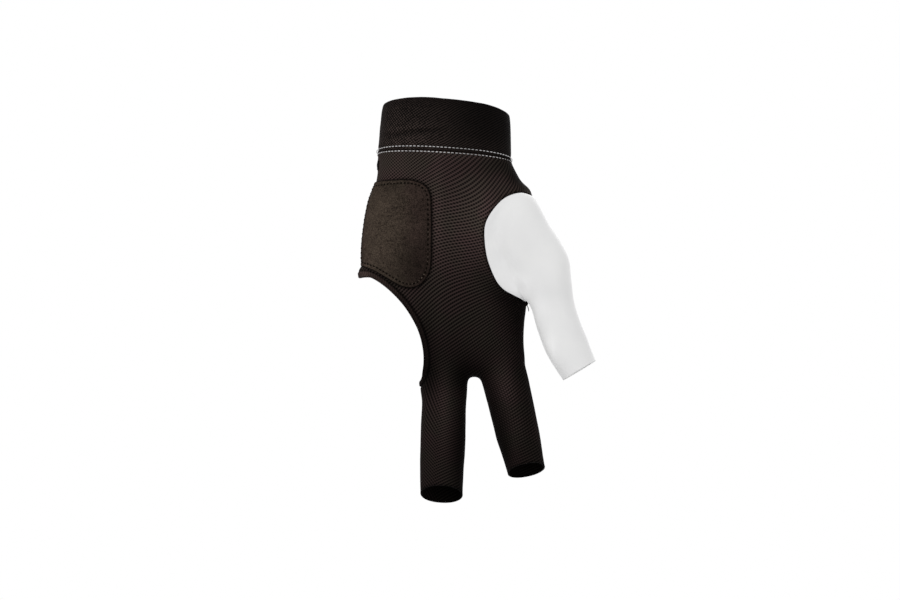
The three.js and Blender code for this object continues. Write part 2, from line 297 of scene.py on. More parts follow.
def copy_of(obj, name):
    twin = obj.copy()
    twin.data = obj.data.copy()
    twin.name = twin.data.name = name
    bpy.context.scene.collection.objects.link(twin)
    return twin


def remove(*objects):
    for obj in objects:
        mesh = obj.data
        bpy.data.objects.remove(obj)
        bpy.data.meshes.remove(mesh)


def read(items, key, width, kind=np.float32):
    """One property of all the items, as a table of that width."""
    out = np.empty(len(items) * width, kind)
    items.foreach_get(key, out)
    return out.reshape(-1, width)


def points_of(obj):
    return read(obj.data.vertices, "co", 3).astype(float) / MM


def set_points(obj, points):
    obj.data.vertices.foreach_set("co", (points * MM).astype(np.float32).ravel())
    obj.data.update()


def normals_of(obj):
    return read(obj.data.vertex_normals, "vector", 3).astype(float)


def edges_of(obj):
    return read(obj.data.edges, "vertices", 2, np.int32)


def relaxed(points, edges, weight, rounds):
    """The points drawn towards the mean of their neighbours, by weight, that many times."""
    a, b = edges.T
    count = len(points)
    degree = np.maximum(np.bincount(a, minlength=count) + np.bincount(b, minlength=count), 1)
    for _ in range(rounds):
        mean = np.stack([
            np.bincount(a, points[b, k], count) + np.bincount(b, points[a, k], count) for k in range(3)
        ], axis=1) / degree[:, None]
        points = points + (mean - points) * np.reshape(weight, (-1, 1))
    return points


def wavy(points, size, seed):
    """Smooth noise of about -1 to 1 at each point; size is the length of its waves in millimetres."""
    shift = Vector((seed * 17.3, seed * 5.1, seed * 9.7))
    return np.array([noise.noise(Vector(p) / size + shift) for p in points])


# Outlines and cutters

def smooth_curve(rows, steps):
    """A Catmull-Rom curve through the rows of a table, in steps between each two."""
    table = np.array(rows, float)
    last = len(table) - 1
    out = []
    for i in range(last):
        a, b, c, d = (table[j] for j in (max(i - 1, 0), i, i + 1, min(i + 2, last)))
        for t in np.arange(steps) / steps:
            bend = (2 * a - 5 * b + 4 * c - d) * t**2 + (3 * b - a - 3 * c + d) * t**3
            out.append(b + 0.5 * ((c - a) * t + bend))
    return np.array(out + [table[last]])


def offset(points, distance):
    """An open outline moved sideways, to the left of its direction for a positive distance."""
    along = np.gradient(points, axis=0)
    along /= np.linalg.norm(along, axis=1, keepdims=True)
    return points + distance * np.stack([-along[:, 1], along[:, 0]], axis=1)


RULED_RINGS = 19


def ruled_solid(name, start, end):
    """A closed solid between two outlines of as many points, in rings, so that a twist stays smooth."""
    start, end = np.array(start, float), np.array(end, float)
    rings = [start + (end - start) * t for t in np.linspace(0, 1, RULED_RINGS)]
    count, last = len(start), (RULED_RINGS - 1) * len(start)
    faces = grid_faces(RULED_RINGS, count, closed=False)
    faces += [tuple(range(count)), tuple(range(last, last + count))]
    return new_object(name, np.concatenate(rings), faces)


def prism(name, front, back):
    """A closed solid between an outline far in front of the glove and one far behind it."""
    return ruled_solid(
        name, [(x, -CUTTER_REACH, z) for x, z in front], [(x, CUTTER_REACH, z) for x, z in back])


def palm_side(name):
    """The solid on the palm's side of the side seam."""
    (_, top), (_, low) = SIDE_SEAM[0], SIDE_SEAM[-1]
    outline = [*SIDE_SEAM, (-SIDE_REACH, low), (-SIDE_REACH, top)]
    start, end = ([(x, y, z) for y, z in outline] for x in (-SIDE_CUTTER_HALF, SIDE_CUTTER_HALF))
    return ruled_solid(name, start, end)


def seam_region(name, seam, widen):
    """The solid on the far side of a seam; its outline blends from the palm side to the back."""
    front = offset(smooth_curve(seam.front, 8), widen)
    back = offset(smooth_curve(seam.back, 8), widen)
    mean, half = (front + back) / 2, (back - front) / 2
    reach = CUTTER_REACH / SEAM_DEPTH
    beyond = np.array(seam.beyond, float)
    return prism(name, np.concatenate([mean - half * reach, beyond]),
                 np.concatenate([mean + half * reach, beyond]))


def cut(obj, cutter, operation):
    """Cuts a closed form with a cutter. The faces that the cutter leaves have material index 1."""
    for body in (obj, cutter):
        while len(body.data.materials) < 2:
            body.data.materials.append(None)
    cutter.data.polygons.foreach_set("material_index", [1] * len(cutter.data.polygons))
    modified(obj, "BOOLEAN", object=cutter, operation=operation, solver="MANIFOLD", material_mode="INDEX")
    remove(cutter)
    return obj


def open_sheet(obj):
    """Deletes what the cutters left behind."""
    with edited(obj) as bm:
        made = [f for f in bm.faces if f.material_index == 1]
        bmesh.ops.delete(bm, geom=made, context="FACES")
        bmesh.ops.dissolve_degenerate(bm, dist=1e-6, edges=bm.edges)
    obj.data.materials.clear()
    return obj


def trimmed(obj, place, normal, reach):
    """Cuts off what lies past a plane, within reach of a place on it, all in millimetres."""
    place, normal = Vector(place), Vector(normal).normalized()
    with edited(obj) as bm:
        near = [f for f in bm.faces if (f.calc_center_median() / MM - place).length < reach]
        parts = set(near)
        for f in near:
            parts.update(f.edges)
            parts.update(f.verts)
        bmesh.ops.bisect_plane(
            bm, geom=list(parts), plane_co=place * MM, plane_no=normal, clear_outer=True, dist=1e-7)
    return obj


def edge_lines(obj):
    """The open edges of a sheet, as closed lines of points."""
    points, links = points_of(obj), {}
    with edited(obj) as bm:
        for e in bm.edges:
            if e.is_boundary:
                a, b = (v.index for v in e.verts)
                links.setdefault(a, []).append(b)
                links.setdefault(b, []).append(a)
    lines = []
    while links:
        start = next(iter(links))
        loop, here = [start], links.pop(start)[0]
        while here != start and here in links:
            loop.append(here)
            ahead = [v for v in links.pop(here) if v in links or v == start]
            if not ahead:
                break
            here = next((v for v in ahead if v != loop[-2]), ahead[0])
        lines.append(points[loop])
    return lines


def line_near(lines, place):
    """The line whose middle is nearest to a place."""
    return min(lines, key=lambda line: np.linalg.norm(line.mean(axis=0) - np.array(place)))


def distance_to(points, line):
    """How far each point is from the nearest point of a line of points."""
    tree = KDTree(len(line))
    for i, p in enumerate(line):
        tree.insert(p, i)
    tree.balance()
    return np.array([tree.find(p)[2] for p in points])


def run_along(points):
    """How far along their line the points lie."""
    return np.concatenate([[0], np.cumsum(np.linalg.norm(np.diff(points, axis=0), axis=1))])


def at_runs(at, run, line):
    """The places on a line whose run along it is given."""
    return np.stack([np.interp(at, run, column) for column in line.T], axis=1)


def spaced_loop(points, pitch):
    """A closed line again, with evenly spaced points about pitch apart."""
    closed = np.concatenate([points, points[:1]])
    run = run_along(closed)
    count = max(3, round(run[-1] / pitch))
    return at_runs(np.linspace(0, run[-1], count, endpoint=False), run, closed)


def smoothed_loop(points, rounds):
    for _ in range(rounds):
        points = 0.5 * points + 0.25 * (np.roll(points, 1, axis=0) + np.roll(points, -1, axis=0))
    return points


def unit(vectors):
    return vectors / np.maximum(np.linalg.norm(vectors, axis=1, keepdims=True), 1e-9)


def surface_tree(obj):
    return BVHTree.FromPolygons(
        [v.co / MM for v in obj.data.vertices], [tuple(p.vertices) for p in obj.data.polygons])


# How far before its place a ray towards the glove starts, and the ways that rays go
RAY_START = 80
TO_BACK, TO_THUMB, FROM_THUMB = (0, 1, 0), (1, 0, 0), (-1, 0, 0)


def struck(tree, place, way):
    """Where a ray through a place first meets the surface, and the direction out of it there."""
    way = Vector(way)
    return tree.ray_cast(Vector(place) - way * RAY_START, way)[:2]


def surface_normals(tree, points):
    return np.array([tree.find_nearest(Vector(p))[1] for p in points])


# The full form, which the sheets of cloth are cut from

VOXEL = 0.62
# Steps between two sections, and points round each
PALM_STEPS, PALM_RING = 4, 96
SLEEVE_STEPS, SLEEVE_RING = 5, 64
# Where two forms flow into each other: centre, radius and rounds of relaxing
SoftZone = namedtuple("SoftZone", "x y z radius rounds")
SOFT_ZONES = table_of(
    SoftZone,
    (30, -15, -62, 26, 70),
    (36, 12, -60, 24, 70),
    (40, -6, -92, 18, 80),
    (37, -12, -84, 16, 110),
    (14, 0, -124, 17, 50),
    (30, 0, -112, 16, 40),
    (-8, 0, -118, 14, 40),
)
# Bumps (and hollows, below 0) in the form: centre, radius and height
Bump = namedtuple("Bump", "x y z radius height")
BUMPS = table_of(
    Bump,
    (-6, -16, -84, 20, -1.3),
    (-27, -17, -60, 17, 0.8),
    (24, -12, -116, 9, 0.7),
    (-2, -12, -118, 9, 0.7),
    (25, 14, -110, 8, 1.3),
    (-1, 14, -112, 8, 1.5),
    (12, 14, -120, 6, -0.9),
    (-34, 1, -25.5, 3.5, 0.7),
    (-35, 0, -30, 2.5, -0.3),
    (42, 0, -39, 7, 0.9),
    (-43, 0, -79.3, 4.5, 1.6),
    (38, -14, -84, 8, 1.0),
    (42, -12, -91, 6, 1.0),
    (39, -13, -90, 5, 0.6),
)
# Small waves over the whole form: their length and height
FORM_WAVES = (9.0, 0.16)


def worn_form():
    """One closed, smooth form that fills the glove and runs on past every end."""
    parts = [loft("form_palm", extended(refined(palm_rows(), PALM_STEPS), PAST_END, 0), 0, PALM_RING)]
    for name, rows in (("middle", MIDDLE), ("index", INDEX), ("thumb", THUMB)):
        rows = extended(refined(rows, SLEEVE_STEPS), 0, PAST_END)
        parts.append(loft(f"form_{name}", rows, 0, SLEEVE_RING))
    select_only(*parts)
    bpy.ops.object.join()
    form = parts[0]
    form.name = "worn_form"
    modified(form, "REMESH", mode="VOXEL", voxel_size=VOXEL * MM, adaptivity=0)
    points, edges = points_of(form), edges_of(form)
    points = relaxed(points, edges, 0.5, 4)
    for zone in SOFT_ZONES:
        share = 1 - eased(0.5, 1, far_from(points, zone[:3]) / zone.radius)
        points = relaxed(points, edges, 0.5 * share, zone.rounds)
    set_points(form, points)
    normals = normals_of(form)
    rise = np.zeros(len(points))
    for bump in BUMPS:
        rise += bump.height * bell(far_from(points, bump[:3]), bump.radius) ** 2
    wave_length, wave_height = FORM_WAVES
    rise += wave_height * wavy(points, wave_length, 1)
    set_points(form, points + normals * rise[:, None])
    return form


# The run of the knit. Its holes lie where the furrows of two families of ribs cross: one family
# rises towards the thumb side, the other falls. Each point keeps its count of ribs in both.

# Ribs as they lie on the palm side: x, z, angle up from the level in degrees, and pitch
RISING_RIBS = (
    (-25, -27, 47, 1.2), (-20, -29, 38, 1.3), (-8, -28, 26, 1.5), (0, -28, 29, 1.6), (14, -30, 44, 1.8),
    (22, -30, 53, 1.9), (30, -30, 68, 1.9), (0, -38, 19, 1.6), (14, -43, 29, 1.6), (-3, -50, 15, 1.5),
    (12, -56, 15, 1.5), (-3, -63, 19, 1.5), (12, -68, 12, 1.5), (-3, -76, 22, 1.5), (12, -80, 18, 1.45),
    (19, -78, 12, 1.35), (-20, -88, 51, 1.55), (-8, -86, 35, 1.65), (7, -90, 27, 1.6), (17, -90, 25, 1.45),
    (27, -96, 35, 1.25), (-10, -98, 44, 1.55), (7, -103, 33, 1.6), (27, -106, 34, 1.2), (-9, -110, 40, 1.45),
    (10, -110, 32, 1.55), (32, -110, 39, 1.1), (-7, -123, 40, 1.35), (7, -118, 27, 1.55), (19, -119, 45, 1.2),
    (34, -118, 39, 1.2), (1, -140, 19, 1.3), (1, -155, 17, 1.35), (0, -168, 20, 1.25), (2, -178, 13, 1.3),
    (35, -137, 32, 1.3), (39, -151, 29, 1.35), (44, -171, 21, 1.3),
)
FALLING_RIBS = (
    (-30, -25, -43, 0.95), (-20, -29, -41, 1.0), (-8, -28, -44, 1.0), (7, -30, -37, 0.95), (0, -38, -43, 1.2),
    (14, -43, -36, 1.2), (-3, -50, -43, 1.35), (12, -56, -49, 1.55), (-3, -63, -45, 1.4), (12, -68, -56, 1.4),
    (-3, -76, -47, 1.3), (12, -80, -54, 1.25), (19, -78, -59, 1.2), (0, -88, -51, 1.15), (17, -90, -58, 1.2),
    (27, -96, -64, 1.2), (-10, -98, -54, 1.05), (7, -103, -62, 1.1), (27, -106, -81, 1.15),
    (-9, -110, -63, 1.0), (10, -110, -71, 1.1), (32, -110, -77, 1.1), (0, -120, -68, 1.05),
    (14, -116, -76, 1.0), (-8, -143, -58, 1.3), (-8, -158, -46, 1.35), (-8, -168, -41, 1.35),
    (-8, -181, -35, 1.2),
    (27, -142, -86, 1.25), (33, -165, -86, 1.35),
)
RELIEF_BY_HEIGHT = ((-185, 0.85), (-140, 0.85), (-110, 1.05), (-90, 0.95), (-60, 0.85), (-40, 0.9))
RIB_REACH = 24
KNIT_PITCH = 1.67


def swells(places, centres):
    """Soft swells about the centres: their heights and their slopes at the places."""
    away = places[:, None] - centres[None]
    height = np.exp(-(away**2).sum(axis=2) / (2 * RIB_REACH**2))
    return height, -away / RIB_REACH**2 * height[..., None]


def rib_count(ribs, places):
    """A smooth count of ribs, whose slope comes near the measured ribs, at the places (x and z)."""
    x, z, angle, pitch = np.array(ribs, float).T
    centres = np.stack([x, z], axis=1)
    angle = np.radians(angle)
    wanted = np.concatenate([-np.sin(angle) / pitch, np.cos(angle) / pitch])
    slopes = swells(centres, centres)[1]
    level, plumb = np.ones((len(x), 1)), np.zeros((len(x), 1))
    known = np.block([[slopes[..., 0], level, plumb], [slopes[..., 1], plumb, level]])
    calm = np.diag([0.004] * len(x) + [0, 0])
    shares = np.linalg.lstsq(np.vstack([known, calm]), np.append(wanted, np.zeros(len(x) + 2)), rcond=None)[0]
    return np.concatenate([
        swells(part, centres)[0] @ shares[:-2] + part @ shares[-2:] for part in np.array_split(places, 20)
    ])


def unrolled(points):
    """x of the points as if the sides of the palm and of the sleeves were rolled out flat."""
    x, y, z = points.T
    palm = np.array([(r.z, r.front, r.back) for r in PALM])[::-1]
    depth = np.where(y < 0, np.interp(z, palm[:, 0], palm[:, 1]), np.interp(z, palm[:, 0], palm[:, 2]))
    middle, height = np.zeros(len(x)), y
    for rows, side in ((MIDDLE, -1), (INDEX, 1)):
        table = np.array(rows)[::-1]
        share = eased(-118, -136, z) * (side * (x - CROTCH_X) > 0)
        middle += share * np.interp(z, table[:, 2], table[:, 0])
        height = height - share * np.interp(z, table[:, 2], table[:, 1])
        depth = depth + share * (np.interp(z, table[:, 2], table[:, 6]) - depth)
    near = np.clip((0.7 - np.abs(height) / depth) / 0.7, 0, 1)
    return x + np.clip((x - middle) / 6, -1, 1) * depth * 0.75 * near**1.5


# On each sleeve the falling ribs stand out on one side of a line: its x at two heights, and the
# half of the glove that it is in. On the thumb side's sleeve the ribs between both families fall.
SleeveTurn = namedtuple("SleeveTurn", "top low half")
TURNS = (SleeveTurn((-4.2, -128), (-5.4, -186), -1), SleeveTurn((28.2, -129), (36.6, -170), 1))
CROTCH_X = 11.5


def knit_run(points):
    """Both counts of ribs for points in millimetres, and how far the rising family stands out."""
    x, _, z = points.T
    flat = np.stack([unrolled(points), z], axis=1)
    lead = 0.72 + 0.3 * eased(-74, -92, z)
    lead += 0.3 * eased(0, 14, x) * eased(-52, -40, z)
    lead -= 0.35 * eased(-14, -22, x) * eased(-34, -28, z)
    for turn in TURNS:
        (x0, z0), (x1, z1) = turn.top, turn.low
        at = x0 + (x1 - x0) * (z - z0) / (z1 - z0)
        beside = eased(3, -3, x - at) * eased(z0 + 5, z0 - 8, z)
        lead = lead * (1 - beside * (np.abs(x - at) < 16) * (turn.half * (x - CROTCH_X) > 0))
    return rib_count(RISING_RIBS, flat), rib_count(FALLING_RIBS, flat), lead


def on_index_sleeve(points):
    x, _, z = points.T
    return eased(14, 21, x) * eased(-114, -126, z)


def rib_relief(points):
    """How strongly the ribs stand out at each point."""
    x, _, z = points.T
    relief = by_height(RELIEF_BY_HEIGHT, z)
    relief -= 0.3 * eased(-8, 6, x) * eased(-52, -40, z)
    return relief + 0.25 * eased(14, 22, x) * eased(-86, -96, z) * eased(-124, -112, z)


def keep(obj, name, values):
    """Keeps one number for each point of a piece, for the material to read."""
    kept = obj.data.attributes.new(name, "FLOAT", "POINT")
    kept.data.foreach_set("value", np.asarray(values, np.float32))


def write_weave(obj, along, across, third=None):
    """Keeps the run of a cloth on its points, for the material to read."""
    values = np.stack([along, across, np.zeros(len(along)) if third is None else third], axis=1)
    weave = obj.data.attributes.new("weave", "FLOAT_VECTOR", "POINT")
    weave.data.foreach_set("vector", values.astype(np.float32).ravel())


# Painted light and shade on the dark cloths, fuller over the palm and down the sleeves: the light
# falls off lower down, and painted shade lies deeper in the folds. Depth is in halvings of the
# colour: first by height, then by soft spots on the palm side.

Spot = namedtuple("Spot", "x z across down depth")
SHADE_BY_HEIGHT = (
    (-185, 1.8), (-160, 1.5), (-140, 1.35), (-128, 1.75), (-110, 1.45), (-90, 0.95), (-75, 0.4),
    (-60, 0.08), (-20, 0.2),
)
MESH_LIGHT_AND_SHADE_SPOTS = table_of(
    Spot,
    (17, -48, 12, 18, -0.4), (33, -28, 12, 14, 0.8), (34, -97, 9, 12, 1.2),
    (20, -27, 14, 6, 0.5), (37, -31, 4.5, 8, 0.9), (28, -34, 4, 6, -0.25),
    (19, -80, 5, 6, 0.4), (26, -88, 6, 5, 0.5), (35, -92.5, 5, 4, 0.5), (30, -89, 7, 8, 0.2),
    (35, -27, 5, 5, 0.3), (12, -83, 12, 12, 0.15), (-7, -113, 8, 10, 0.25),
    (23, -86, 4, 4, 0.35), (29, -92, 4, 4, 0.5), (35, -31, 4, 4, 0.4), (29, -25, 5, 4, 0.3),
    (-8.5, -132, 4, 7, 0.7), (2, -118, 8, 7, 0.25), (23, -146, 3, 14, 0.35),
    (29, -170, 3, 5, 0.5), (47, -170, 3, 6, 0.4), (5, -172, 4, 12, 0.3),
    (-4.5, -50, 3, 28, -0.35), (11, -34, 18, 9, 0.1), (20, -52, 5, 14, -0.2),
    (-24, -28, 16, 8, -0.15), (32, -146, 4, 18, -0.3), (24, -132, 4, 8, -0.3),
    (35, -37, 5, 3, -0.3), (-4, -108, 4, 14, -0.2), (29, -93, 12, 3, 0.2),
    (37, -104, 5, 12, 0.4), (38, -115, 6, 20, 0.6), (11, -131, 8, 8, 1.6),
    (-13, -118, 6, 16, 0.8), (-9, -128, 5, 14, 0.5), (15, -110, 10, 8, -0.15),
    (-1, -150, 4.5, 24, -0.9), (-8, -165, 6, 22, -0.4), (9, -170, 4.5, 34, 1.5),
    (-1, -160, 10, 16, 0.3), (29, -134, 5, 12, -0.9), (34, -158, 4.5, 18, -0.2),
    (22, -148, 4.5, 14, 0.7), (24, -128, 5, 6, -0.25), (36, -158, 4, 9, -0.25),
    (27, -167, 5, 18, 1.3), (42, -144, 4, 14, 0.3), (40, -165, 6, 30, 0.4),
    (35.5, -32, 3, 3, 0.4), (36, -132, 5, 18, 0.25),
)
# Thumb cloth: a base depth, painted light round its sides, and spots of painted light where it lies in shade
THUMB_DEPTH, THUMB_SIDE_LIGHT = 0.19, 0.3
THUMB_LIGHT_SPOTS = table_of(
    Spot,
    (37, -87, 5, 5.5, -0.22), (45, -96, 4, 9, -0.13), (32, -60, 8, 14, 0.04),
    (32.5, -76, 6, 9, -0.1), (46, -86, 5, 8, 0.06), (51, -118, 3, 8, -0.22), (38.5, -70, 7, 10, 0.06),
)


def spotted(points, spots):
    """The depth that the spots add at each point."""
    x, _, z = points.T
    return sum(s.depth * bell(x - s.x, s.across) * bell(z - s.z, s.down) for s in spots)


def on_palm_side(points):
    """1 on the palm side and 0 on the back, soft between."""
    return eased(4, -4, points[:, 1])


def painted_cloth_shading(points):
    """Halvings of the mesh cloth's colour at each point, as painted light and shade."""
    depth = by_height(SHADE_BY_HEIGHT, points[:, 2]) + 0.1
    return depth + on_palm_side(points) * spotted(points, MESH_LIGHT_AND_SHADE_SPOTS)


def painted_thumb_light(points, normals):
    """Halvings of the thumb cloth's colour, with painted light round the sides, where the shading falls off.
    """
    depth = THUMB_DEPTH - THUMB_SIDE_LIGHT * (1 - np.abs(normals[:, 1])) ** 1.5
    return np.maximum(depth + on_palm_side(points) * spotted(points, THUMB_LIGHT_SPOTS), 0)


def line_depth(points, line, band):
    """More depth in a narrow band that runs beside a line, at a distance from it."""
    return band.depth * bell(distance_to(points, line) - band.at, band.width)


def write_tone(obj, depth):
    """Keeps how pale the piece is drawn on its points; on the cloths this is painted light and shade."""
    keep(obj, "tone", 0.5 ** np.asarray(depth))


# Bands that run beside a line: how far from it, how wide, and how deep. A dip's depth is in
# millimetres, and a shade's in halvings of the colour.
Band = namedtuple("Band", "at width depth")
SIDE_DIP, THUMB_DIP, TAPE_DIP = Band(0, 0.7, 0.3), Band(0, 0.8, 0.35), Band(2.65, 0.45, 0.3)
SIDE_SHADE, TIP_SHADE, THUMB_SHADE = Band(0, 0.5, 1.0), Band(0, 0.8, 0.8), Band(0, 0.9, 1.2)
TAPE_SHADE, PATCH_SHADE = Band(2.65, 0.5, 2.2), Band(0, 0.5, 1.5)
PANEL_DIP = Band(0, 0.6, 0.25)
CLEAR_OF_LINES = 1.2


# Sheets of cloth

def dipped(obj, line, band):
    """Draws a sheet inwards in a narrow band beside a line, as where it is sewn down."""
    points = points_of(obj)
    set_points(obj, points - normals_of(obj) * line_depth(points, line, band)[:, None])


def walled(obj, wall, inside=0.4):
    """Gives a sheet its thickness, inwards from its outer face, which keeps the first points.
    Its inner faces' tone is multiplied by inside, as painted shade inside the glove."""
    count = len(obj.data.vertices)
    modified(obj, "SOLIDIFY", thickness=wall * MM, offset=-1, use_even_offset=False, use_rim=True)
    tone = obj.data.attributes.get("tone")
    if tone:
        values = read(tone.data, "value", 1).ravel()
        values[count:] *= inside
        tone.data.foreach_set("value", values)
    return obj


# How far from its plane's place a trim works
TOP_REACH, TIP_REACH, PATCH_REACH = 60, 24, 200


def trimmed_at_tip(sheet, rows):
    return trimmed(sheet, rows[-1][:3], section_axes(rows[-1])[2], TIP_REACH)


def mesh_cloth_sheets(form):
    """The mesh cloth's outer faces: all of the form but the thumb's panel and the open side.
    First the whole, for its seam lines, then the palm's side and the back's."""
    whole = copy_of(form, "whole_cloth")
    cut(whole, seam_region("cut_thumb", THUMB_SEAM, -0.15), "DIFFERENCE")
    cut(whole, seam_region("cut_opening", OPENING, 0.0), "DIFFERENCE")
    palm, back = copy_of(whole, "palm_cloth"), copy_of(whole, "back_cloth")
    cut(palm, palm_side("cut_palm"), "INTERSECT")
    cut(back, palm_side("cut_back"), "DIFFERENCE")
    top = palm_rows()[0]
    for sheet in (whole, palm, back):
        open_sheet(sheet)
        trimmed(sheet, top[:3], -section_axes(top)[2], TOP_REACH)
        for rows in (MIDDLE, INDEX):
            trimmed_at_tip(sheet, rows)
    return whole, palm, back


def rim_points(obj):
    """The points on a sheet's open edges."""
    points = points_of(obj)
    with edited(obj) as bm:
        rim = [v.index for v in bm.verts if v.is_boundary]
    return points[rim]


def away_from(points, lines, distance):
    """Those of the points that lie farther than a distance from all of the lines."""
    return points[distance_to(points, np.concatenate(lines)) > distance]


def thumb_sheet(form):
    sheet = copy_of(form, "thumb_sleeve_cloth")
    cut(sheet, seam_region("cut_thumb", THUMB_SEAM, 0.1), "INTERSECT")
    open_sheet(sheet)
    return trimmed_at_tip(sheet, THUMB)


def patch_sheet(form):
    outline = smooth_curve(PATCH, 5)
    sheet = copy_of(form, "heel_patch")
    cut(sheet, prism("cut_patch", outline, outline), "INTERSECT")
    open_sheet(sheet)
    return trimmed(sheet, (-40, PATCH_SIDE, -60), (0, 1, 0), PATCH_REACH)


def drawn_on(sheet, outline):
    """Points of the palm side's cloth under an outline, given in x and z, closed."""
    tree = surface_tree(sheet)
    steps = np.concatenate([outline, outline[:1]])
    run = run_along(steps)
    over = at_runs(np.arange(0, run[-1], SEAM_STEP), run, steps)
    hits = [struck(tree, (x, 0, z), TO_BACK)[0] for x, z in over]
    return np.array([hit for hit in hits if hit is not None])


# Stitches

Stitch = namedtuple("Stitch", "length width height")


def stitch_shape(stitch):
    """One stitch of thread, lying along X, as points and faces: a primitive bent down at its ends."""
    length, width, height = stitch
    bpy.ops.object.select_all(action="DESELECT")
    bpy.ops.mesh.primitive_uv_sphere_add(segments=8, ring_count=8, radius=1)
    ball = bpy.context.active_object
    points = points_of(ball) * MM
    # Blender gives a primitive's faces in another order each time, so they are sorted
    faces = sorted(tuple(p.vertices) for p in ball.data.polygons)
    remove(ball)
    x, y, z = points[:, 2], points[:, 0], points[:, 1]
    x = np.sign(x) * np.abs(x) ** 0.75
    sink = -0.55 * height * x**2
    return np.stack([x * length / 2, y * width / 2, z * height / 2 + sink], axis=1), faces


def sewn(name, stitch, places, along, out, shade=0.0):
    """A joined mesh of stitches at these places, turned along the seam and out of the cloth.
    shade is the depth of their tone, one for all or one for each."""
    base, faces = stitch_shape(stitch)
    along = unit(along)
    side = unit(np.cross(out, along))
    out = np.cross(along, side)
    turned = (
        places[:, None] + base[None, :, :1] * along[:, None] + base[None, :, 1:2] * side[:, None]
        + base[None, :, 2:] * out[:, None]
    )
    count = len(base)
    all_faces = [tuple(i + k * count for i in f) for k in range(len(places)) for f in faces]
    obj = new_object(name, turned.reshape(-1, 3), all_faces)
    write_tone(obj, np.repeat(np.broadcast_to(shade, len(places)), count))
    smooth_shaded(obj)
    return obj


def smooth_shaded(obj):
    obj.data.polygons.foreach_set("use_smooth", [True] * len(obj.data.polygons))
    obj.data.update()


# The cuff

CUFF_HEIGHT = 21.6
CUFF_RING = 176
CUFF_LINES = 34
CUFF_STITCH_HEIGHT = 0.4
# The length over the fold at the top edge, as a share of the band's height
FOLD_SHARE = 0.13
CUFF_CREASE = ((-27, -11.6), (-2, -9.4))
# Spots of painted light and shade on the band's palm side
CUFF_LIGHT_AND_SHADE_SPOTS = table_of(
    Spot,
    (0, 5, 40, 3.5, 0.6), (16, -2, 14, 10, 0.9), (-10, -14.5, 10, 3.5, -0.3),
    (-14, -11.5, 14, 5, -0.2), (-31, 0, 4, 8, 0.25), (-21, -15.5, 12, 3, -0.45),
    (20, -12, 14, 9, 0.3), (20, 1, 22, 8, 0.25), (31, -6, 5, 12, 0.3),
    (-14, 1, 8, 6, 0.1), (-24, -8, 9, 14, -0.3),
)


def cuff_rows():
    """Rows from the cuff's top edge to its seam, evenly spread."""
    rows = smooth_curve(CUFF, 12)
    at = np.linspace(0, len(rows) - 1, CUFF_LINES)
    return [Row(*line) for line in at_runs(at, np.arange(len(rows)), rows)]


def cuff_shape(wall):
    """The doubled band: down the outside, round the seam edge, up the inside and over the fold."""
    rows = cuff_rows()
    rings, down = [], []
    last = len(rows) - 1
    for i, row in enumerate(rows):
        share = i / last
        puff = 0.35 * math.sin(math.pi * min(share / 0.86, 1)) - 0.35 * eased(0.84, 0.9, share)
        puff += 0.3 * eased(0.9, 0.955, share) - 0.35 * eased(0.975, 1, share)
        rings.append(ring(row, float(puff) - 0.1, CUFF_RING))
        down.append(share)
    for turn in (0.35, 0.7):
        rings.append(ring(rows[last], -0.6 - (wall - 1.1) * turn, CUFF_RING))
        down.append(1.0)
    for i in range(last, -1, -2):
        rings.append(ring(rows[i], -wall, CUFF_RING))
        down.append(-FOLD_SHARE - i / last)
    top = rows[0]
    lift = -section_axes(top)[2]
    for turn in np.linspace(0.15, 0.85, 6):
        angle = math.pi * turn
        grow = -wall / 2 - math.cos(angle) * (wall / 2 - 0.05)
        rings.append(ring(top, grow, CUFF_RING) + np.array(lift) * math.sin(angle) * 0.75)
        down.append(-FOLD_SHARE * (1 - turn))
    return np.array(rings), np.array(down)


def wrist_cuff(sizes):
    rings, down = cuff_shape(sizes.cuff_wall / MM)
    count = len(rings)
    obj = new_object("wrist_band", rings.reshape(-1, 3), grid_faces(count, CUFF_RING, closed=True))
    points, normals = points_of(obj), normals_of(obj)
    rise = 0.22 * wavy(points, 13, 3) + 0.1 * wavy(points, 5, 4)
    start, end = (np.array(p, float) for p in CUFF_CREASE)
    along = (end - start) / np.linalg.norm(end - start)
    offset_xz = points[:, [0, 2]] - start
    ahead = offset_xz @ along
    away = offset_xz @ np.array([-along[1], along[0]])
    inside = eased(-7, 3, ahead) * (1 - eased(18, 31, ahead)) * (points[:, 1] < 0)
    fold, above = bell(away, 1.2) * inside, bell(away - 2.6, 1.5) * inside
    below = bell(away + 2.6, 1.7) * inside
    rise += 0.35 * below + 0.2 * above - 0.7 * fold
    set_points(obj, points + normals * rise[:, None])
    girth = np.linalg.norm(np.diff(rings[0], axis=0, append=rings[0][:1]), axis=1)
    around = np.tile(-np.cumsum(girth), count)
    x, _, z = points.T
    run = down + 0.2 * np.maximum(down - 0.4, 0) ** 2
    write_weave(obj, around, np.repeat(-run * CUFF_HEIGHT, CUFF_RING), eased(6, -26, x))
    # Painted light and shade on the palm side: darker towards the thumb side and lighter lower down,  painted
    # shade in the crease with a painted highlight above it, and soft spots
    depth = np.clip((x + 2) * 0.034, -0.8, 1.2) - 0.35 * eased(-12, -20, z) + 0.65 * fold - 0.35 * above
    write_tone(obj, 1.6 + on_palm_side(points) * (depth + spotted(points, CUFF_LIGHT_AND_SHADE_SPOTS)))
    smooth_shaded(obj)
    return obj


